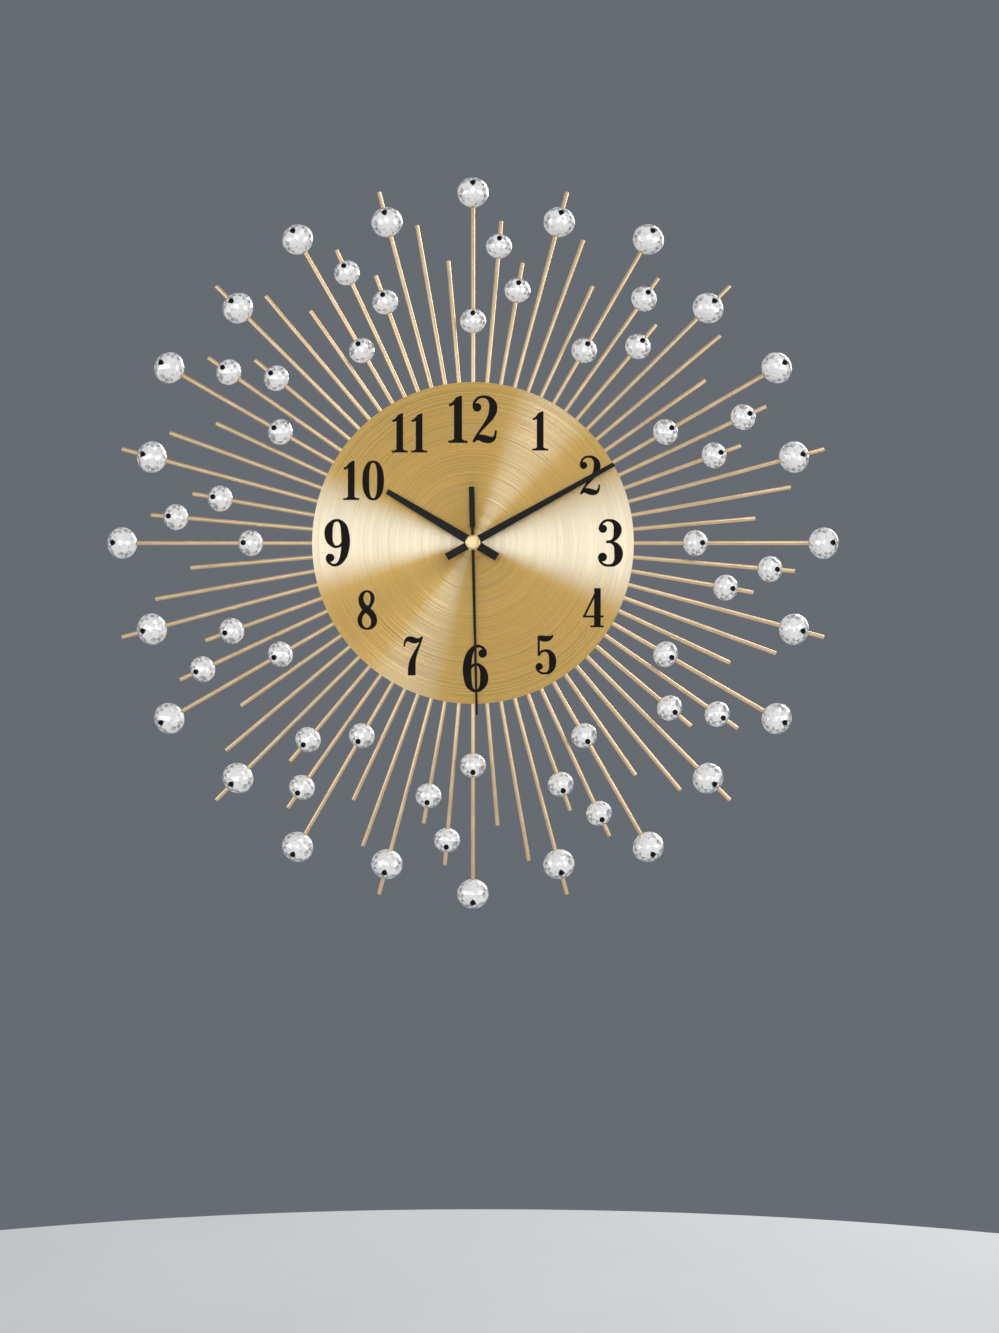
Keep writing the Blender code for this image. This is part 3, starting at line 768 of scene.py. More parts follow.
class Assembly:
    """Shared ways of placing pieces on a body of the frame."""

    def __init__(self, finishes: Finishes) -> None:
        """Keep the finishes and start an empty piece list."""
        self.finishes = finishes
        self.pieces: Pieces = []

    def add(self, name: str, mesh: bpy.types.Mesh, finish: bpy.types.Material | None, slot: str,
            body: str = ROOT, stands_for: Sequence[str] = (), local: Matrix = HERE) -> None:
        """Place one piece.

        Args:
            name: The piece's name.
            mesh: Its mesh, drawn in the clock's own frame.
            finish: Its material, or None where the mesh has its own.
            slot: The record's slot for its finish; not used.
            body: The body it rides on.
            stands_for: The frame's nodes it replaces.
            local: Where it stands in the clock's own frame.
        """
        obj = bpy.data.objects.new(name, mesh)
        if finish is not None:
            if mesh.materials:
                mesh.materials[0] = finish
            else:
                mesh.materials.append(finish)
        bpy.context.scene.collection.objects.link(obj)
        obj.matrix_world = UPRIGHT @ local
        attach(obj, body)
        if stands_for:
            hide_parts(*stands_for)
        self.pieces.append(obj)


def heights(node: str) -> tuple[float, float]:
    """How far a node's back and front stand off the wall, in millimetres."""
    low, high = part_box(node)
    return -high.y / MM, -low.y / MM


# =============================================================================
# Ray frame
# =============================================================================
@dataclass(frozen=True)
class BeadSize:
    """A faceted bead: radius across the rod, half length along it, facets round and along."""

    name: str
    radius: float
    half: float
    sides: int
    rows: int


@dataclass
class RayFrame:
    """Rods, ring strip and threaded beads."""

    finishes: Finishes
    rod_radius: float = 1.6
    rod_inner: float = 107.0
    rod_tips: tuple[float, ...] = (290.0, 264.5, 233.0, 297.5, 264.0, 232.0)
    ring: Point = (106.0, 122.0)
    ring_levels: Point = (14.0, 15.8)
    weld_at: Point = (109.5, 119.0)
    weld_size: tuple[float, float, float] = (2.3, 3.0, 0.9)
    weld_wobble: float = 0.12
    tip_bead_at: float = 287.0
    big: BeadSize = BeadSize("big_bead", 13.0, 12.2, 16, 11)
    small: BeadSize = BeadSize("small_bead", 10.75, 10.1, 14, 9)
    step: float = math.radians(5.0)
    bead_mouth: float = 0.30
    bead_wobble: float = 0.012
    bore_radius: float = 1.95
    # Size, lean and stretch of the dark patch cut into each bead's face: a painted reflection of the
    # bore.
    painted_reflection_radii: Point = (2.9, 1.7)
    painted_reflection_lean: float = math.radians(32.0)
    painted_reflection_stretch: float = 1.35
    base: Assembly = field(init=False)

    def __post_init__(self) -> None:
        """Read the rods' height from the frame."""
        self.base = Assembly(self.finishes)
        back, front = heights("tip_bead_12")
        self.height = (back + front) / 2
        self.threads = ((0, 182.0, self.small), (1, 244.0, self.small), (2, 210.0, self.small),
                        (3, 272.0, self.big), (0, self.tip_bead_at, self.big))

    def along(self, distance: float, angle: float) -> Matrix:
        """Matrix that lays +Z outward along a rod, with +Y towards the viewer."""
        x, y = polar(distance, angle)
        return (Matrix.Translation((x * MM, y * MM, self.height * MM))
                @ Matrix.Rotation(-angle, 4, "Z") @ Matrix.Rotation(-math.pi / 2, 4, "X")
                @ Matrix.Rotation(math.pi, 4, "Z"))

    def rod_mesh(self, length: float) -> bpy.types.Mesh:
        """A drawn rod with softly rounded ends, its inner end at the origin.

        Args:
            length: Its length in millimetres.

        Returns:
            The mesh.
        """
        r, c = self.rod_radius, 0.35
        profile = [(0.0, length), (r - c, length), (r - c * 0.3, length - c * 0.3), (r, length - c),
                   (r, c), (r - c, 0.0), (0.0, 0.0)]
        return lathe("rod", profile, 16)

    def bead_skin(self, size: BeadSize) -> bpy.types.Mesh:
        """The cut surface of a bead: staggered triangular facets, not quite even.

        Args:
            size: Its size and facets.

        Returns:
            The closed mesh.
        """
        shape = bmesh.new()
        mouth = self.bead_mouth
        turns = []
        for k in range(size.rows):
            polar_angle = mouth + (math.pi - 2 * mouth) * k / (size.rows - 1)
            radius, along = size.radius * math.sin(polar_angle), size.half * math.cos(polar_angle)
            row = []
            for i in range(size.sides):
                a = (i + 0.5 * (k % 2)) * math.tau / size.sides
                pick = noise.noise(Vector((i * 1.7, k * 2.3, size.radius)))
                lift = 1.0 + self.bead_wobble * pick
                row.append(shape.verts.new((radius * lift * math.cos(a) * MM,
                                            radius * lift * math.sin(a) * MM, along * MM)))
            turns.append(row)
        for k in range(size.rows - 1):
            one, two = turns[k], turns[k + 1]
            for i in range(size.sides):
                n = (i + 1) % size.sides
                if k % 2 == 0:
                    shape.faces.new((one[i], one[n], two[i]))
                    shape.faces.new((one[n], two[n], two[i]))
                else:
                    shape.faces.new((one[i], two[n], two[i]))
                    shape.faces.new((one[i], one[n], two[n]))
        shape.faces.new(turns[0])
        shape.faces.new(turns[-1])
        return finish_mesh(shape, size.name, None)

    def bead_mesh(self, size: BeadSize) -> bpy.types.Mesh:
        """A cut bead with its bore, its flared outer mouth, and a dark patch cut into its face near its
        outer end, a painted reflection of the bore seen through the crystal.

        Args:
            size: Its size and facets.

        Returns:
            The mesh, with its materials and a tone for each facet.
        """
        mesh = self.bead_skin(size)
        mesh.materials.append(self.finishes.crystal)
        r, through = self.bore_radius, 20.0
        wide, narrow = self.painted_reflection_radii
        bore = lathe("bore", [(0.0, through), (r, through), (r, -through), (0.0, -through)], 16)
        flare = lathe("flare", [(0.0, 3.0), (5.2, 3.0), (1.9, -2.2), (0.0, -2.2)], 16)
        # Dark patch cut into the face: a painted reflection of the bore, not a real opening.
        window = lathe("window", [(0.0, 4.0), (wide, 4.0), (narrow, -3.6), (0.0, -3.6)], 18)
        for tool in (bore, flare, window):
            tool.materials.append(self.finishes.bore)
        outward = Vector((0.0, math.cos(self.painted_reflection_lean), math.sin(self.painted_reflection_lean)))
        rest = Vector((0.0, 0.0, 1.0)).rotation_difference(outward).to_matrix().to_4x4()
        stand = (Matrix.Translation(outward * size.radius * MM) @ rest
                 @ Matrix.Diagonal((1.0, self.painted_reflection_stretch, 1.0, 1.0)))
        top = Matrix.Translation((0.0, 0.0, size.half * math.cos(self.bead_mouth) * MM))
        cut = carve(mesh, [(bore, HERE), (flare, top), (window, stand)])
        tones = cut.attributes.new(FACET, "FLOAT", "FACE")
        shift = Vector((40.0, 40.0, 40.0))
        tones.data.foreach_set("value", [noise.cell(Vector(face.normal) * 9.0 + shift)
                                         for face in cut.polygons])
        return cut

    def build(self) -> Pieces:
        """Make the rods, beads, ring and welds.

        Returns:
            The pieces.
        """
        f, base = self.finishes, self.base
        rods = [self.rod_mesh(tip - self.rod_inner) for tip in self.rod_tips]
        beads = {size.name: self.bead_mesh(size) for size in (self.big, self.small)}
        for hour in range(12):
            number = hour or 12
            node = f"ray_sector_{number:02d}"
            for k, mesh in enumerate(rods):
                angle = hour * FULL_HOUR + k * self.step
                base.add(f"rod_{number:02d}_{k + 1}", mesh, f.rod, "ray_gold", ROOT, (node,),
                         self.along(self.rod_inner, angle))
            tip = len(self.threads) - 1
            for j, (k, distance, size) in enumerate(self.threads):
                angle = hour * FULL_HOUR + k * self.step
                stands = (f"tip_bead_{number:02d}",) if j == tip else (node,)
                base.add(f"{size.name}_{number:02d}_{j + 1}", beads[size.name], None,
                         "crystal_silver", ROOT, stands, self.along(distance, angle))
        self.build_ring()
        return base.pieces

    def build_ring(self) -> None:
        """The flat ring behind the dial and the weld at each rod."""
        inner, outer = self.ring
        low, high = self.ring_levels
        c = 0.25
        profile = [(inner + c, high), (outer - c, high), (outer, high - c), (outer, low + c),
                   (outer - c, low), (inner + c, low), (inner, low + c), (inner, high - c)]
        nodes = [f"ray_sector_{n:02d}" for n in range(1, 13)]
        self.base.add("ray_ring", lathe("ray_ring", profile, 144), self.finishes.rod, "ray_gold",
                      ROOT, nodes)
        beads = []
        for i in range(72):
            for distance in self.weld_at:
                x, y = polar(distance, i * self.step)
                shape = bmesh.new()
                size = Matrix.Diagonal((*(side * MM for side in self.weld_size), 1.0))
                place = (Matrix.Translation((x * MM, y * MM, high * MM))
                         @ Matrix.Rotation(-i * self.step, 4, "Z") @ size)
                bmesh.ops.create_icosphere(shape, subdivisions=2, radius=1.0, matrix=place)
                for v in shape.verts:
                    v.co += Vector((0.0, 0.0, self.weld_wobble * MM)) * noise.noise(v.co * 900.0)
                beads.append(finish_mesh(shape, "weld"))
        self.base.add("ring_welds", combine("ring_welds", beads), self.finishes.weld, "ray_gold")


# =============================================================================
# Numerals
# =============================================================================
Pen = tuple[float, float, float]


@dataclass(frozen=True)
class Glyph:
    """A numeral as pen strokes (x, y, width), round dots and straight-edged blocks, one unit tall."""

    width: float
    strokes: tuple[tuple[Pen, ...], ...] = ()
    loops: tuple[tuple[Pen, ...], ...] = ()
    dots: tuple[Pen, ...] = ()
    blocks: tuple[tuple[Point, ...], ...] = ()

    def turned(self) -> "Glyph":
        """The same glyph turned half a turn.

        Returns:
            The turned glyph.
        """
        return Glyph(self.width,
                     tuple(tuple((-x, 1 - y, w) for x, y, w in s) for s in self.strokes),
                     tuple(tuple((-x, 1 - y, w) for x, y, w in s) for s in self.loops),
                     tuple((-x, 1 - y, r) for x, y, r in self.dots),
                     tuple(tuple((-x, 1 - y) for x, y in b) for b in self.blocks))


def box_block(x0: float, y0: float, x1: float, y1: float) -> tuple[Point, ...]:
    """Four corners of an upright block."""
    return ((x0, y0), (x1, y0), (x1, y1), (x0, y1))


HAIR = 0.046
STEM = 0.086
SIX = Glyph(0.51,
            strokes=(((0.215, 0.815, 0.05), (0.185, 0.905, 0.045), (0.075, 0.972, HAIR),
                      (-0.045, 0.930, 0.07), (-0.135, 0.780, 0.12), (-0.178, 0.560, 0.145),
                      (-0.176, 0.360, 0.145),
                      (-0.140, 0.150, 0.115), (-0.060, 0.040, 0.06), (0.010, 0.021, HAIR),
                      (0.090, 0.050, 0.065), (0.165, 0.170, 0.125), (0.183, 0.300, 0.142),
                      (0.160, 0.450, 0.115), (0.085, 0.560, 0.06), (0.010, 0.582, HAIR),
                      (-0.070, 0.555, HAIR), (-0.120, 0.480, HAIR)),),
            dots=((0.150, 0.815, 0.082),))
GLYPHS: dict[str, Glyph] = {
    "0": Glyph(0.52, loops=(((0.0, 0.979, HAIR), (0.100, 0.930, 0.08), (0.170, 0.750, 0.125),
                             (0.188, 0.5, 0.142), (0.170, 0.250, 0.125), (0.100, 0.070, 0.08),
                             (0.0, 0.021, HAIR),
                             (-0.100, 0.070, 0.08), (-0.170, 0.250, 0.125), (-0.188, 0.5, 0.142),
                             (-0.170, 0.750, 0.125), (-0.100, 0.930, 0.08)),)),
    "1": Glyph(0.39, strokes=(((-0.190, 0.800, HAIR), (-0.120, 0.825, 0.05), (-0.060, 0.880, 0.06),
                               (0.0, 0.965, 0.05)),),
               blocks=(((-STEM, 0.02), (STEM, 0.02), (STEM, 1.0), (0.03, 1.0), (-STEM, 0.90)),
                       box_block(-0.205, 0.0, 0.205, 0.050),
                       ((-STEM - 0.055, 0.048), (STEM + 0.055, 0.048), (STEM, 0.085), (-STEM, 0.085)))),
    "2": Glyph(0.53, strokes=(((-0.225, 0.745, 0.05), (-0.220, 0.850, 0.045), (-0.140, 0.950, HAIR),
                               (-0.020, 0.979, HAIR), (0.090, 0.945, 0.075), (0.170, 0.840, 0.125),
                               (0.182, 0.710, 0.142), (0.135, 0.560, 0.115), (0.030, 0.410, 0.075),
                               (-0.090, 0.260, 0.05), (-0.190, 0.110, HAIR), (-0.235, 0.015, HAIR)),
                              ((-0.235, 0.020, 0.035), (-0.185, 0.085, 0.065), (-0.100, 0.110, 0.110),
                               (0.010, 0.082, 0.130), (0.110, 0.066, 0.115), (0.185, 0.090, 0.075),
                               (0.225, 0.160, 0.045), (0.240, 0.265, 0.035))),
               dots=((-0.160, 0.755, 0.084),)),
    "3": Glyph(0.52, strokes=(((-0.215, 0.785, 0.05), (-0.190, 0.890, 0.045), (-0.100, 0.968, HAIR),
                               (-0.010, 0.979, HAIR), (0.085, 0.945, 0.075), (0.152, 0.850, 0.125),
                               (0.160, 0.745, 0.138), (0.120, 0.620, 0.09), (0.040, 0.545, 0.05),
                               (-0.080, 0.520, HAIR)),
                              ((-0.080, 0.522, HAIR), (0.040, 0.510, 0.05), (0.135, 0.440, 0.10),
                               (0.182, 0.300, 0.150), (0.165, 0.150, 0.125), (0.085, 0.045, 0.07),
                               (-0.010, 0.021, HAIR), (-0.120, 0.035, HAIR), (-0.205, 0.110, 0.045),
                               (-0.228, 0.215, 0.05))),
               dots=((-0.150, 0.800, 0.080), (-0.158, 0.200, 0.086))),
    "4": Glyph(0.52, strokes=(((0.110, 0.985, 0.045), (-0.060, 0.630, 0.043), (-0.235, 0.272, 0.043)),),
               blocks=(box_block(0.020, 0.02, 0.190, 1.0), box_block(-0.265, 0.250, 0.265, 0.302),
                       box_block(-0.075, 0.0, 0.265, 0.048))),
    "5": Glyph(0.52, strokes=(((-0.190, 0.960, 0.05), (-0.120, 0.925, 0.11), (-0.020, 0.905, 0.125),
                               (0.080, 0.915, 0.105), (0.150, 0.950, 0.06), (0.195, 0.995, 0.03)),
                              ((-0.175, 0.960, HAIR), (-0.172, 0.700, HAIR), (-0.172, 0.470, HAIR)),
                              ((-0.172, 0.475, HAIR), (-0.110, 0.565, HAIR), (-0.010, 0.603, 0.05),
                               (0.090, 0.570, 0.085), (0.165, 0.460, 0.135), (0.184, 0.310, 0.150),
                               (0.160, 0.150, 0.120), (0.080, 0.045, 0.07), (-0.010, 0.021, HAIR),
                               (-0.120, 0.035, HAIR), (-0.205, 0.110, 0.045), (-0.228, 0.205, 0.05))),
               dots=((-0.158, 0.195, 0.084),)),
    "6": SIX,
    "7": Glyph(0.50, strokes=(((-0.235, 0.735, 0.035), (-0.215, 0.850, 0.045), (-0.160, 0.915, 0.09),
                               (-0.070, 0.920, 0.130), (0.030, 0.890, 0.125), (0.120, 0.895, 0.085),
                               (0.190, 0.945, 0.05), (0.225, 0.995, 0.035)),
                              ((0.222, 0.985, HAIR), (0.150, 0.780, 0.05), (0.050, 0.560, 0.085),
                               (-0.020, 0.360, 0.130), (-0.040, 0.170, 0.155), (-0.042, 0.0, 0.158))),
               ),
    "8": Glyph(0.53, loops=(((0.0, 0.979, HAIR), (0.090, 0.940, 0.06), (0.140, 0.840, 0.085),
                             (0.135, 0.720, 0.080), (0.080, 0.600, 0.07), (-0.020, 0.520, 0.115),
                             (-0.130, 0.395, 0.09),
                             (-0.182, 0.265, 0.098), (-0.160, 0.130, 0.085), (-0.090, 0.045, 0.06),
                             (0.0, 0.021, HAIR), (0.100, 0.050, 0.07), (0.172, 0.150, 0.115),
                             (0.176, 0.275, 0.130), (0.120, 0.395, 0.135), (0.010, 0.500, 0.140),
                             (-0.100, 0.610, 0.125), (-0.150, 0.740, 0.110), (-0.140, 0.850, 0.095),
                             (-0.085, 0.940, 0.065)),)),
    "9": SIX.turned(),
}


@dataclass
class Numerals:
    """The twelve printed numerals, a hair thicker than nothing."""

    finishes: Finishes
    ink_thickness: float = 0.08
    large: float = 38.5
    regular: float = 32.0
    gap: float = 0.105
    weight: float = 1.24
    dot_gain: float = 1.1
    sunk: float = 0.02
    crisp: float = 20.0
    places: tuple[tuple[str, float, float], ...] = (
        ("12", 101.0, 0.0), ("1", 106.7, 31.0), ("2", 110.4, 60.0), ("3", 112.0, 90.0),
        ("4", 111.7, 118.3), ("5", 108.8, 147.0), ("6", 102.5, 178.8), ("7", 104.3, 207.8),
        ("8", 102.5, 237.7), ("9", 111.0, 270.0), ("10", 103.0, 299.7), ("11", 103.8, 330.0))

    @staticmethod
    def smooth(pens: Sequence[Pen], closed: bool, fine: int = 5) -> list[Vector]:
        """Pen positions read from a smooth curve through the given ones.

        Args:
            pens: Positions and widths.
            closed: Whether the last joins the first.
            fine: Steps between two given positions.

        Returns:
            The positions as vectors of x, y and width.
        """
        count = len(pens)
        points = [Vector(p) for p in pens]
        result = []
        for i in range(count if closed else count - 1):
            if closed:
                p0, p1, p2, p3 = (points[(i + d) % count] for d in (-1, 0, 1, 2))
            else:
                p0, p1, p2, p3 = (points[min(max(i + d, 0), count - 1)] for d in (-1, 0, 1, 2))
            for s in range(fine):
                t = s / fine
                result.append(0.5 * (2 * p1 + (p2 - p0) * t
                                     + (2 * p0 - 5 * p1 + 4 * p2 - p3) * t * t
                                     + (3 * p1 - p0 - 3 * p2 + p3) * t ** 3))
        if not closed:
            result.append(points[-1])
        return result

    def ribbons(self, pens: Sequence[Pen], closed: bool, scale: float, centre: Point,
                low: float, high: float) -> list[bpy.types.Mesh]:
        """One pen stroke as two raised ribbons that meet half-way, so that neither crosses itself.

        Args:
            pens: Positions and widths of the stroke.
            closed: Whether its last position joins its first.
            scale: Height of the numeral in millimetres.
            centre: The digit's middle on the dial in millimetres.
            low: Height of the ink's underside.
            high: Height of its top.

        Returns:
            The two meshes.
        """
        path = self.smooth(pens, closed)
        count = len(path)
        rows = []
        for i, p in enumerate(path):
            before = path[(i - 1) % count] if closed or i else p
            after = path[(i + 1) % count] if closed or i < count - 1 else p
            run = Vector((after.x - before.x, after.y - before.y))
            side = Vector((-run.y, run.x)).normalized() * p.z * self.weight / 2
            rows.append([(centre[0] + (p.x + sign * side.x) * scale,
                          centre[1] + (p.y + sign * side.y - 0.5) * scale) for sign in (1, -1)])
        if closed:
            rows.append(rows[0])
        middle = len(rows) // 2
        return [self.strip(part, low, high) for part in (rows[:middle + 1], rows[middle:])]

    def strip(self, rows: Sequence[Sequence[Point]], low: float, high: float) -> bpy.types.Mesh:
        """A raised band.

        Args:
            rows: Pairs of edge points along it, in millimetres.
            low: Height of its underside.
            high: Height of its top.

        Returns:
            The mesh.
        """
        shape = bmesh.new()
        bars = [[shape.verts.new((x * MM, y * MM, h * MM)) for x, y in row for h in (low, high)]
                for row in rows]
        for a, b in zip(bars, bars[1:]):
            for one, two in ((0, 1), (1, 3), (3, 2), (2, 0)):
                shape.faces.new((a[one], a[two], b[two], b[one]))
        for bar in (bars[0], bars[-1]):
            shape.faces.new((bar[0], bar[1], bar[3], bar[2]))
        return finish_mesh(shape, "strip", self.crisp)

    def slab(self, outline: Sequence[Point], low: float, high: float) -> bpy.types.Mesh:
        """A flat-sided block.

        Args:
            outline: Its convex edge, in millimetres.
            low: Height of its underside.
            high: Height of its top.

        Returns:
            The mesh.
        """
        shape = bmesh.new()
        lower = [shape.verts.new((x * MM, y * MM, low * MM)) for x, y in outline]
        upper = [shape.verts.new((x * MM, y * MM, high * MM)) for x, y in outline]
        shape.faces.new(lower)
        shape.faces.new(upper)
        for i in range(len(outline)):
            n = (i + 1) % len(outline)
            shape.faces.new((lower[i], lower[n], upper[n], upper[i]))
        return finish_mesh(shape, "slab", self.crisp)

    def numeral(self, text: str, centre: Point, low: float, high: float) -> bpy.types.Mesh:
        """The mesh of one numeral.

        Args:
            text: Its digits.
            centre: Its middle on the dial in millimetres.
            low: Height of the ink's underside.
            high: Height of its top.

        Returns:
            The mesh.
        """
        scale = self.large if text in ("12", "3", "6", "9") else self.regular
        glyphs = [GLYPHS[digit] for digit in text]
        total = sum(g.width for g in glyphs) + self.gap * (len(glyphs) - 1)
        pen = -total / 2
        parts: list[bpy.types.Mesh] = []
        for glyph in glyphs:
            middle = (centre[0] + (pen + glyph.width / 2) * scale, centre[1])
            pen += glyph.width + self.gap
            for stroke in glyph.strokes:
                parts += self.ribbons(stroke, False, scale, middle, low, high)
            for loop in glyph.loops:
                parts += self.ribbons(loop, True, scale, middle, low, high)
            for x, y, radius in glyph.dots:
                spot = (middle[0] + x * scale, middle[1] + (y - 0.5) * scale)
                parts.append(self.slab(circle(radius * self.dot_gain * scale, 28, spot), low, high))
            for block in glyph.blocks:
                outline = [(middle[0] + x * scale, middle[1] + (y - 0.5) * scale) for x, y in block]
                parts.append(self.slab(outline, low, high))
        solid = carve(parts[0], [(part, HERE) for part in parts[1:]], "UNION")
        solid.name = "numeral_" + text
        solid.set_sharp_from_angle(angle=math.radians(self.crisp))
        return solid

    def build(self) -> Pieces:
        """Print the numerals on the dial.

        Returns:
            The pieces.
        """
        base = Assembly(self.finishes)
        _, front = heights("dial_plate")
        for text, radius, degrees in self.places:
            centre = polar(radius, math.radians(degrees))
            mesh = self.numeral(text, centre, front - self.sunk, front + self.ink_thickness)
            base.add(f"numeral_{text}", mesh, self.finishes.ink, "hand_black")
        return base.pieces


# =============================================================================
# Dial, hands and fixing
# =============================================================================
@dataclass
class DialFace:
    """The dial disc with its rounded rim."""

    finishes: Finishes
    hole: float = 4.3
    edge: float = 0.35

    def build(self) -> Pieces:
        """Make the dial.

        Returns:
            The pieces.
        """
        base = Assembly(self.finishes)
        back, front = heights("dial_plate")
        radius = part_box("dial_plate")[1].x / MM
        e = self.edge
        profile = [(self.hole, front), (radius - e, front), (radius - e * 0.3, front - e * 0.3),
                   (radius, front - e), (radius, back + e * 0.4), (radius - e, back),
                   (self.hole, back)]
        base.add("dial", lathe("dial", profile, 192), self.finishes.dial, "dial_gold", ROOT,
                 ("dial_plate",))
        return base.pieces


@dataclass(frozen=True)
class HandShape:
    """Outline of one hand in millimetres, pointing to twelve."""

    name: str
    body: str
    hub: float
    hole: float
    root_half: float
    tip_half: float
    length: float
    tail_half: float
    tail: float
    angle: float
    neck: Point | None = None

    def outline(self) -> list[Point]:
        """The edge of the hand, clockwise from its tip.

        Returns:
            The points in millimetres.
        """
        tip_cut, tail_cut, step = 0.25, 0.3, 0.5
        up = math.asin(self.root_half / self.hub)
        narrow = self.neck[0] if self.neck else self.tail_half
        down = math.asin(narrow / self.hub)
        points = [(self.tip_half - tip_cut, self.length), (self.tip_half, self.length - tip_cut),
                  (self.root_half, self.hub * math.cos(up))]
        points += [polar(self.hub, up + (math.pi - down - up) * i / 16) for i in range(1, 16)]
        points.append((narrow, -self.hub * math.cos(down)))
        if self.neck:
            points += [(narrow, -self.neck[1] + 0.6), (self.tail_half - step, -self.neck[1]),
                       (self.tail_half, -self.neck[1] - step)]
        points += [(self.tail_half, -self.tail + tail_cut),
                   (self.tail_half - tail_cut, -self.tail)]
        return points + [(-x, y) for x, y in reversed(points)]


@dataclass
class Hands:
    """Hour, minute and second hand with the cap that covers their hub."""

    finishes: Finishes
    shapes: tuple[HandShape, ...] = (
        HandShape("hour_hand", "hour", 5.5, 2.8, 3.65, 2.2, 81.4, 3.45, 23.0, 300.8),
        HandShape("minute_hand", "minute", 5.5, 1.9, 3.15, 1.75, 131.5, 3.05, 24.5, 61.0),
        HandShape("second_hand", "second", 4.0, 0.9, 1.25, 0.92, 140.5, 2.3, 45.3, 178.7,
                  (1.1, 12.3)))

    def build(self) -> Pieces:
        """Make the hands and the cap.

        Returns:
            The pieces.
        """
        base = Assembly(self.finishes)
        for shape in self.shapes:
            low, high = heights(shape.name)
            mesh = plate(shape.name, [shape.outline(), circle(shape.hole, 24)], low, high, 0.12)
            base.add(shape.name + "_blade", mesh, self.finishes.hand, "hand_black", shape.body,
                     (shape.name,), Matrix.Rotation(-math.radians(shape.angle), 4, "Z"))
        low, high = heights("hub_cap")
        profile = [(0.0, high - 0.05), (1.2, high - 0.08), (4.6, high - 0.22), (5.5, high - 0.42),
                   (6.0, high - 0.85), (6.2, high - 1.3), (6.2, low + 0.15), (6.05, low), (0.0, low)]
        base.add("hub_cap_disc", lathe("hub_cap_disc", profile, 64, 50.0), self.finishes.cap,
                 "cap_gold", "second", ("hub_cap",))
        return base.pieces


@dataclass
class Fixing:
    """Threaded bush, washer, nut and gasket that hold the movement to the dial."""

    finishes: Finishes
    nut_flat_half: float = 6.0

    def build(self) -> Pieces:
        """Make the turned pieces.

        Returns:
            The pieces.
        """
        base = Assembly(self.finishes)
        low, high = heights("threaded_bush")
        profile = [(2.8, high), (3.55, high), *thread(4.0, 3.72, 0.5, high - 0.3, 17.9),
                   (4.0, 17.6), (5.5, 17.6), (5.5, 16.8), (4.0, 16.8), (4.0, low), (2.8, low)]
        base.add("bush_thread", lathe("bush_thread", profile, 48), self.finishes.brass, "brass",
                 ROOT, ("threaded_bush",))
        low, high = heights("washer")
        ring = [(4.3, high), (6.85, high), (7.0, high - 0.15), (7.0, low + 0.15), (6.85, low),
                (4.3, low)]
        base.add("brass_washer", lathe("brass_washer", ring, 64), self.finishes.brass, "brass",
                 ROOT, ("washer",))
        low, high = heights("fixing_nut")
        corner = self.nut_flat_half / math.cos(math.pi / 6)
        nut = plate("hex_nut", [circle(corner, 6), circle(4.3, 48)], low, high, 0.25)
        base.add("hex_nut", nut, self.finishes.brass, "brass", ROOT, ("fixing_nut",))
        low, high = heights("rubber_gasket")
        seal = [(5.8, high), (11.8, high), (12.0, high - 0.2), (12.0, low + 0.2), (11.8, low),
                (5.8, low)]
        base.add("gasket_ring", lathe("gasket_ring", seal, 64), self.finishes.rubber,
                 "rubber_black", ROOT, ("rubber_gasket",))
        return base.pieces


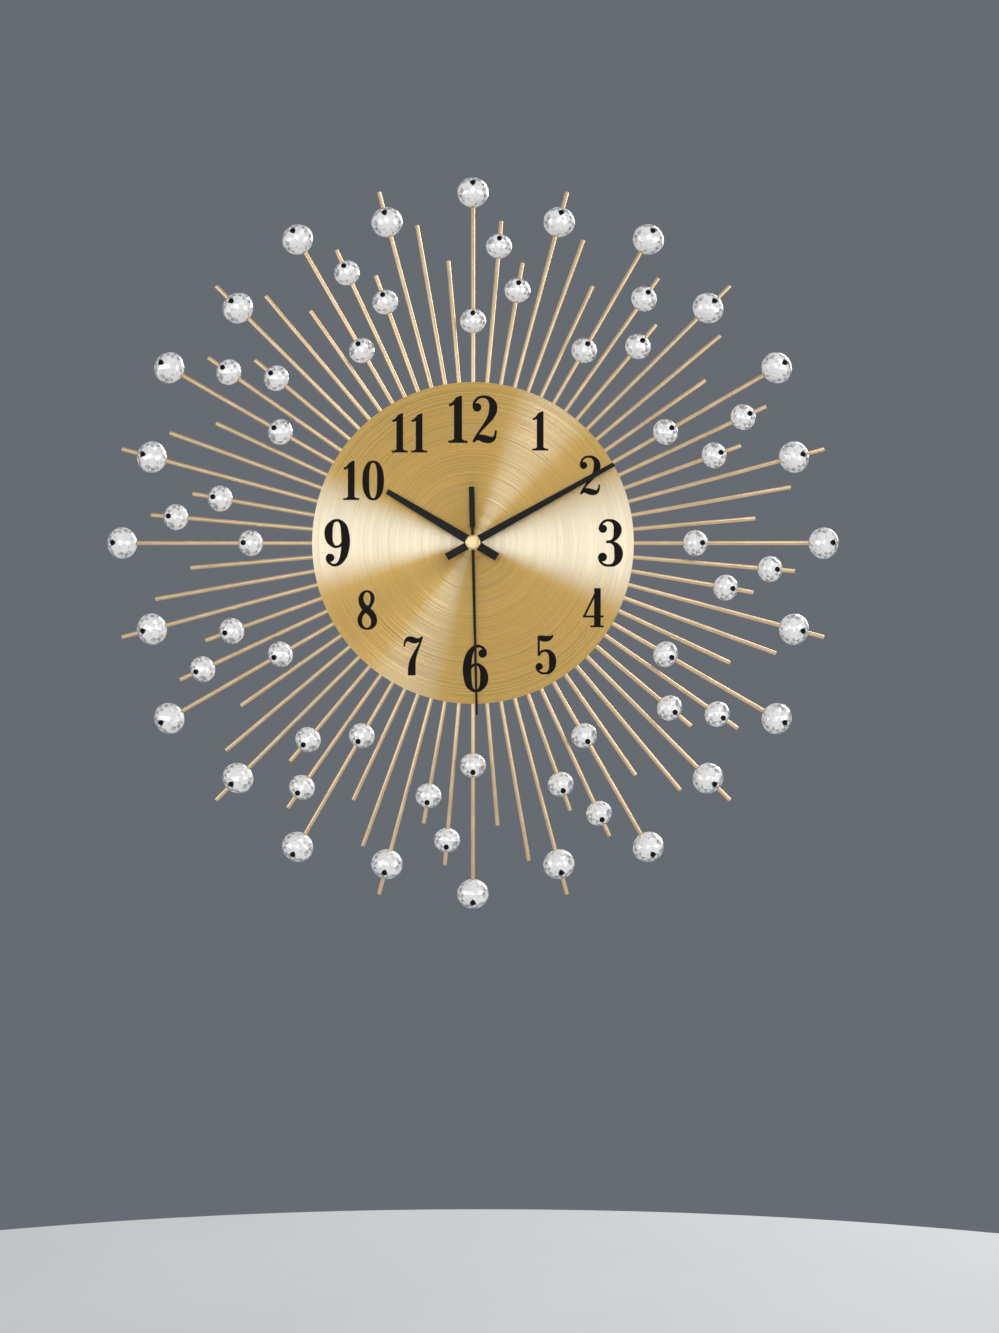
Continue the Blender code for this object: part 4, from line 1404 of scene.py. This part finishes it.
# =============================================================================
# Back of the clock
# =============================================================================
@dataclass
class BackPlate:
    """Pressed plate, hanger, screws and bumpers."""

    finishes: Finishes
    screw_at: Point = (11.0, 103.0)
    screw_hole: float = 1.8
    bumper_at: Point = (75.0, -75.0)
    sheet: float = 1.2
    strap: float = 1.2
    web_at: float = 95.0
    bend: float = 1.6
    eye: float = 4.6
    eye_at: float = 69.0
    slot: float = 2.3
    slot_end: float = 79.0

    def build(self) -> Pieces:
        """Make the pieces of the back.

        Returns:
            The pieces.
        """
        self.base = Assembly(self.finishes)
        self.build_plate()
        self.build_hanger()
        self.build_bumpers()
        return self.base.pieces

    def build_plate(self) -> None:
        """The pressed disc with its raised centre and a rolled rim."""
        back, front = heights("backing_plate")
        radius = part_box("backing_plate")[1].x / MM
        t = self.sheet
        upper = [(4.3, front), (43.2, front), (44.3, front - 0.35), (47.6, back + t + 0.3),
                 (48.8, back + t), (70.0, back + t), (72.0, back + t), (74.0, back + t),
                 (76.0, back + t), (radius - 0.5, back + t), (radius, back + t - 0.4)]
        lower = [(radius, back + 0.4), (radius - 0.5, back), (48.3, back), (46.8, back + 0.3),
                 (43.5, front - t - 0.3), (42.4, front - t), (4.3, front - t)]
        mesh = lathe("backing_disc", upper + lower, 160)
        self.base.add("backing_disc", carve(mesh, self.screw_holes()), self.finishes.plate,
                      "plate_black", ROOT, ("backing_plate",))

    @staticmethod
    def beside(side: int, at: Point) -> Matrix:
        """Where the left (-1) or right (1) one of a pair stands on the back."""
        return Matrix.Translation((side * at[0] * MM, at[1] * MM, 0.0))

    def screw_holes(self) -> list[tuple[bpy.types.Mesh, Matrix]]:
        """Cutters for the two screw holes.

        Returns:
            Each cutter and where it stands.
        """
        r = self.screw_hole
        return [(lathe("hole", [(0.0, 20.0), (r, 20.0), (r, 5.0), (0.0, 5.0)], 20),
                 self.beside(side, self.screw_at)) for side in (-1, 1)]

    def build_hanger(self) -> None:
        """The bent strap with its keyhole, and the two pan-head screws."""
        low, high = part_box("hanger_bracket")
        strap, half = self.strap, high.x / MM
        y0, y1 = low.z / MM, high.z / MM
        h0, h1 = -high.y / MM, -low.y / MM
        web, bend = self.web_at - strap / 2, self.bend
        centre_line = [(y0, h0 + strap / 2), (web - bend, h0 + strap / 2)]
        centre_line += [(web - bend + bend * math.sin(a), h0 + strap / 2 + bend - bend * math.cos(a))
                        for a in (math.pi / 8 * i for i in range(1, 5))]
        centre_line += [(web + bend - bend * math.cos(a), h1 - strap / 2 - bend + bend * math.sin(a))
                        for a in (math.pi / 8 * i for i in range(0, 5))]
        centre_line.append((y1, h1 - strap / 2))
        upper, lower = [], []
        for i, (y, h) in enumerate(centre_line):
            a, b = centre_line[max(i - 1, 0)], centre_line[min(i + 1, len(centre_line) - 1)]
            run = Vector((b[0] - a[0], b[1] - a[1])).normalized()
            side = Vector((-run.y, run.x)) * strap / 2
            upper.append((y + side.x, h + side.y))
            lower.append((y - side.x, h - side.y))
        mesh = plate("hanger_strap", [upper + lower[::-1]], -half, half, 0.12)
        sideways_to_upright = Matrix(((0, 0, 1, 0), (1, 0, 0, 0), (0, 1, 0, 0), (0, 0, 0, 1)))
        mesh.transform(sideways_to_upright)
        cutters = [(plate("keyhole", [self.keyhole()], -2.0, 5.0), HERE), *self.screw_holes()]
        self.base.add("hanger_strap", carve(mesh, cutters), self.finishes.zinc, "zinc_steel", ROOT,
                      ("hanger_bracket",))
        for side, name in ((-1, "hanger_screw_left"), (1, "hanger_screw_right")):
            self.base.add(name + "_m3", self.screw_mesh(name), self.finishes.zinc, "zinc_steel",
                          ROOT, (name,), self.beside(side, self.screw_at))

    def keyhole(self) -> list[Point]:
        """The round eye and the slot above it that a wall screw slides into.

        Returns:
            The outline in millimetres.
        """
        meet = math.asin(self.slot / self.eye)
        outline = [(self.eye * math.sin(a), self.eye_at + self.eye * math.cos(a))
                   for a in (meet + (math.tau - 2 * meet) * i / 36 for i in range(37))]
        return outline + [(-self.slot * math.cos(a), self.slot_end + self.slot * math.sin(a))
                          for a in (math.pi * i / 14 for i in range(15))]

    @staticmethod
    def screw_mesh(node: str) -> bpy.types.Mesh:
        """A pan-head screw with a cross recess and a thread, head towards the wall.

        Args:
            node: The frame's node it stands for.

        Returns:
            The mesh.
        """
        low, high = heights(node)
        head = low + 1.8
        profile = [(0.0, high), (1.2, high), *thread(1.5, 1.27, 0.4, high - 0.3, head + 0.6),
                   (1.4, head), (2.9, head), (2.9, head - 0.9), (2.7, head - 1.25),
                   (2.2, head - 1.6), (1.2, low), (0.0, low)]
        mesh = lathe("pan_screw", profile, 32)
        arm, half, turned = 1.6, 0.28, 0.4
        recess = []
        for turn in (turned, turned + math.pi / 2):
            bar = plate("bar", [[(-arm, -half), (arm, -half), (arm, half), (-arm, half)]],
                        low - 1.0, low + 0.9)
            recess.append((bar, Matrix.Rotation(turn, 4, "Z")))
        return carve(mesh, recess)

    def build_bumpers(self) -> None:
        """Soft feet that keep the clock off the wall."""
        for side, name in ((-1, "wall_bumper_left"), (1, "wall_bumper_right")):
            low, high = heights(name)
            profile = [(0.0, high), (5.8, high), (6.0, high - 0.2), (6.0, low + 2.2),
                       (5.6, low + 0.9), (4.9, low + 0.25), (4.0, low), (1.6, low),
                       (1.3, low + 0.6), (0.0, low + 0.6)]
            self.base.add(name + "_foot", lathe("foot", profile, 40), self.finishes.rubber,
                          "rubber_black", ROOT, (name,), self.beside(side, self.bumper_at))


# =============================================================================
# Movement
# =============================================================================
@dataclass
class Movement:
    """Case, cover, cell and everything inside."""

    finishes: Finishes
    nodes: dict[str, Any]

    @staticmethod
    def dress(obj: bpy.types.Object, finish: bpy.types.Material) -> None:
        """Give a node of the frame its finish.

        Args:
            obj: The node's object.
            finish: Its material.
        """
        obj.data.materials.clear()
        obj.data.materials.append(finish)
        soften(obj.data)

    def build(self) -> Pieces:
        """Dress the movement's nodes and add the cell.

        Returns:
            The pieces.
        """
        f = self.finishes
        base = Assembly(f)
        for node, finish in (
            ("movement_case", f.case), ("movement_cover", f.case), ("contact_positive", f.nickel),
            ("contact_negative", f.nickel), ("circuit_board", f.board), ("chip", f.chip),
            ("quartz_crystal", f.nickel), ("coil_bobbin", f.bobbin), ("coil_winding", f.copper),
            ("stator", f.iron), ("train_plate", f.acetal), ("seconds_wheel", f.acetal),
            ("third_wheel", f.red), ("centre_wheel", f.acetal), ("minute_pipe", f.brass),
            ("motion_work_wheel", f.red), ("hour_wheel", f.acetal), ("setting_knob", f.acetal),
            ("intermediate_wheel", f.red), ("rotor", f.magnet),
        ):
            self.dress(self.nodes[node], finish)
            base.pieces.append(self.nodes[node])
        self.build_cell(base)
        return base.pieces

    def build_cell(self, base: Assembly) -> None:
        """A plain AA cell with its sleeve turned over the shoulders.

        Args:
            base: What to add it to.
        """
        low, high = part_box("battery")
        length = (high.x - low.x) / MM
        radius = (high.z - low.z) / MM / 2
        profile = [(0.0, length), (2.3, length), (2.65, length - 0.15), (2.75, length - 0.5),
                   (2.75, length - 1.0), (4.6, length - 1.1), (5.0, length - 0.8),
                   (6.3, length - 0.75), (6.9, length - 1.0), (radius, length - 1.5), (radius, 0.7),
                   (6.9, 0.25), (6.3, 0.05), (5.4, 0.0), (5.0, 0.35), (0.0, 0.35)]
        mesh = lathe("cell", profile, 64)
        place = Matrix.Translation((low.x, (low.z + high.z) / 2, -(low.y + high.y) / 2))
        base.add("aa_cell", mesh, self.finishes.sleeve, "battery_wrap", "battery", ("battery",),
                 place @ Matrix.Rotation(math.pi / 2, 4, "Y"))


# =============================================================================
# Stage
# =============================================================================
@dataclass(frozen=True)
class SoftBox:
    """A rectangular soft light that faces a point."""

    name: str
    at: tuple[float, float, float]
    size: tuple[float, float]
    power: float
    colour: Colour = (1.0, 1.0, 1.0)
    aim: tuple[float, float, float] = (0.0, 0.0, 0.0)

    def build(self) -> None:
        """Hang the light."""
        data = bpy.data.lights.new(self.name, "AREA")
        data.shape = "RECTANGLE"
        data.size, data.size_y = self.size
        data.energy = self.power
        data.color = self.colour
        light = bpy.data.objects.new(self.name, data)
        light.location = self.at
        way = Vector(self.aim) - Vector(self.at)
        light.rotation_euler = way.to_track_quat("-Z", "Y").to_euler()
        bpy.context.scene.collection.objects.link(light)


@dataclass
class Studio:
    """Floor, lights, surrounding tone and camera."""

    distance: float = 2.4
    sensor: float = 36.0
    frame_width: float = 0.8234
    camera_at: Point = (0.0217, -0.1010)
    floor_level: float = -0.80
    floor_radius: float = 1.35
    floor_colour: Colour = (0.68, 0.69, 0.70)
    floor_shade: Colour = (0.62, 0.63, 0.64)
    floor_cloud_scale: float = 3.0
    backdrop: Colour = (0.135, 0.148, 0.168)
    ambient: Colour = (0.99, 1.0, 1.02)
    ambient_strength: float = 0.52
    lights: tuple[SoftBox, ...] = (
        SoftBox("soft_left", (-2.2, -1.35, 0.10), (1.9, 1.0), 8.0),
        SoftBox("soft_right", (2.2, -1.35, 0.06), (1.9, 1.3), 10.5),
        SoftBox("soft_top", (1.15, -1.3, 2.0), (0.55, 1.1), 7.0),
        SoftBox("soft_front", (-0.4, -3.2, 0.3), (2.1, 2.1), 14.0),
        SoftBox("soft_back", (1.7, 2.1, 1.2), (1.8, 1.8), 45.0),
    )

    def build(self) -> None:
        """Set the stage."""
        self.build_floor()
        self.build_world()
        for light in self.lights:
            light.build()
        self.build_camera()

    def build_floor(self) -> None:
        """A plain pale round floor below the clock."""
        shape = bmesh.new()
        bmesh.ops.create_circle(shape, cap_ends=True, segments=128, radius=self.floor_radius,
                                matrix=Matrix.Translation((0.0, 0.0, self.floor_level)))
        floor = bpy.data.objects.new("floor", finish_mesh(shape, "floor"))
        g = Graph.material("floor_pale")
        cloud = g.noise(self.floor_cloud_scale, 3.0)
        floor.data.materials.append(g.surface(
            Base_Color=g.mix(cloud, self.floor_shade, self.floor_colour), Roughness=0.8))
        bpy.context.scene.collection.objects.link(floor)

    def build_world(self) -> None:
        """A grey-blue surround that lights evenly from all sides."""
        world = bpy.data.worlds.new("surround")
        bpy.context.scene.world = world
        g = Graph(world)
        seen = g.node("ShaderNodeBackground", {}, {"Color": self.backdrop, "Strength": 1.0})
        glow = g.node("ShaderNodeBackground", {},
                      {"Color": self.ambient, "Strength": self.ambient_strength})
        direct = g.node("ShaderNodeLightPath", {}, {}, "Is Camera Ray")
        either = g.node("ShaderNodeMixShader", {}, {0: direct, 1: glow, 2: seen})
        g.feed(g.tree.nodes["World Output"].inputs["Surface"], either)

    def build_camera(self) -> None:
        """A camera square to the wall."""
        data = bpy.data.cameras.new("camera")
        data.sensor_fit = "HORIZONTAL"
        data.sensor_width = self.sensor
        data.lens = self.sensor * self.distance / self.frame_width
        camera = bpy.data.objects.new("camera", data)
        camera.location = (self.camera_at[0], -self.distance, self.camera_at[1])
        camera.rotation_euler = (math.pi / 2, 0.0, 0.0)
        bpy.context.scene.collection.objects.link(camera)
        bpy.context.scene.camera = camera


def corners(bounds: Any) -> list[list[float]]:
    """A box as plain lists of numbers."""
    return [[float(v) for v in corner] for corner in bounds]


def main() -> None:
    """Build the clock round the frame."""
    logging.basicConfig(level=logging.INFO, format="%(message)s")
    for obj in list(bpy.data.objects):
        bpy.data.objects.remove(obj, do_unlink=True)
    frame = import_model()
    bpy.context.scene.view_settings.view_transform = "Standard"
    Studio().build()
    finishes = Finishes()
    for part in (RayFrame(finishes), DialFace(finishes), Numerals(finishes), Hands(finishes),
                 Fixing(finishes), BackPlate(finishes), Movement(finishes, frame["nodes"])):
        for piece in part.build():
            LOG.info("%s: %s", type(part).__name__, piece.name)


if __name__ == "__main__":
    main()
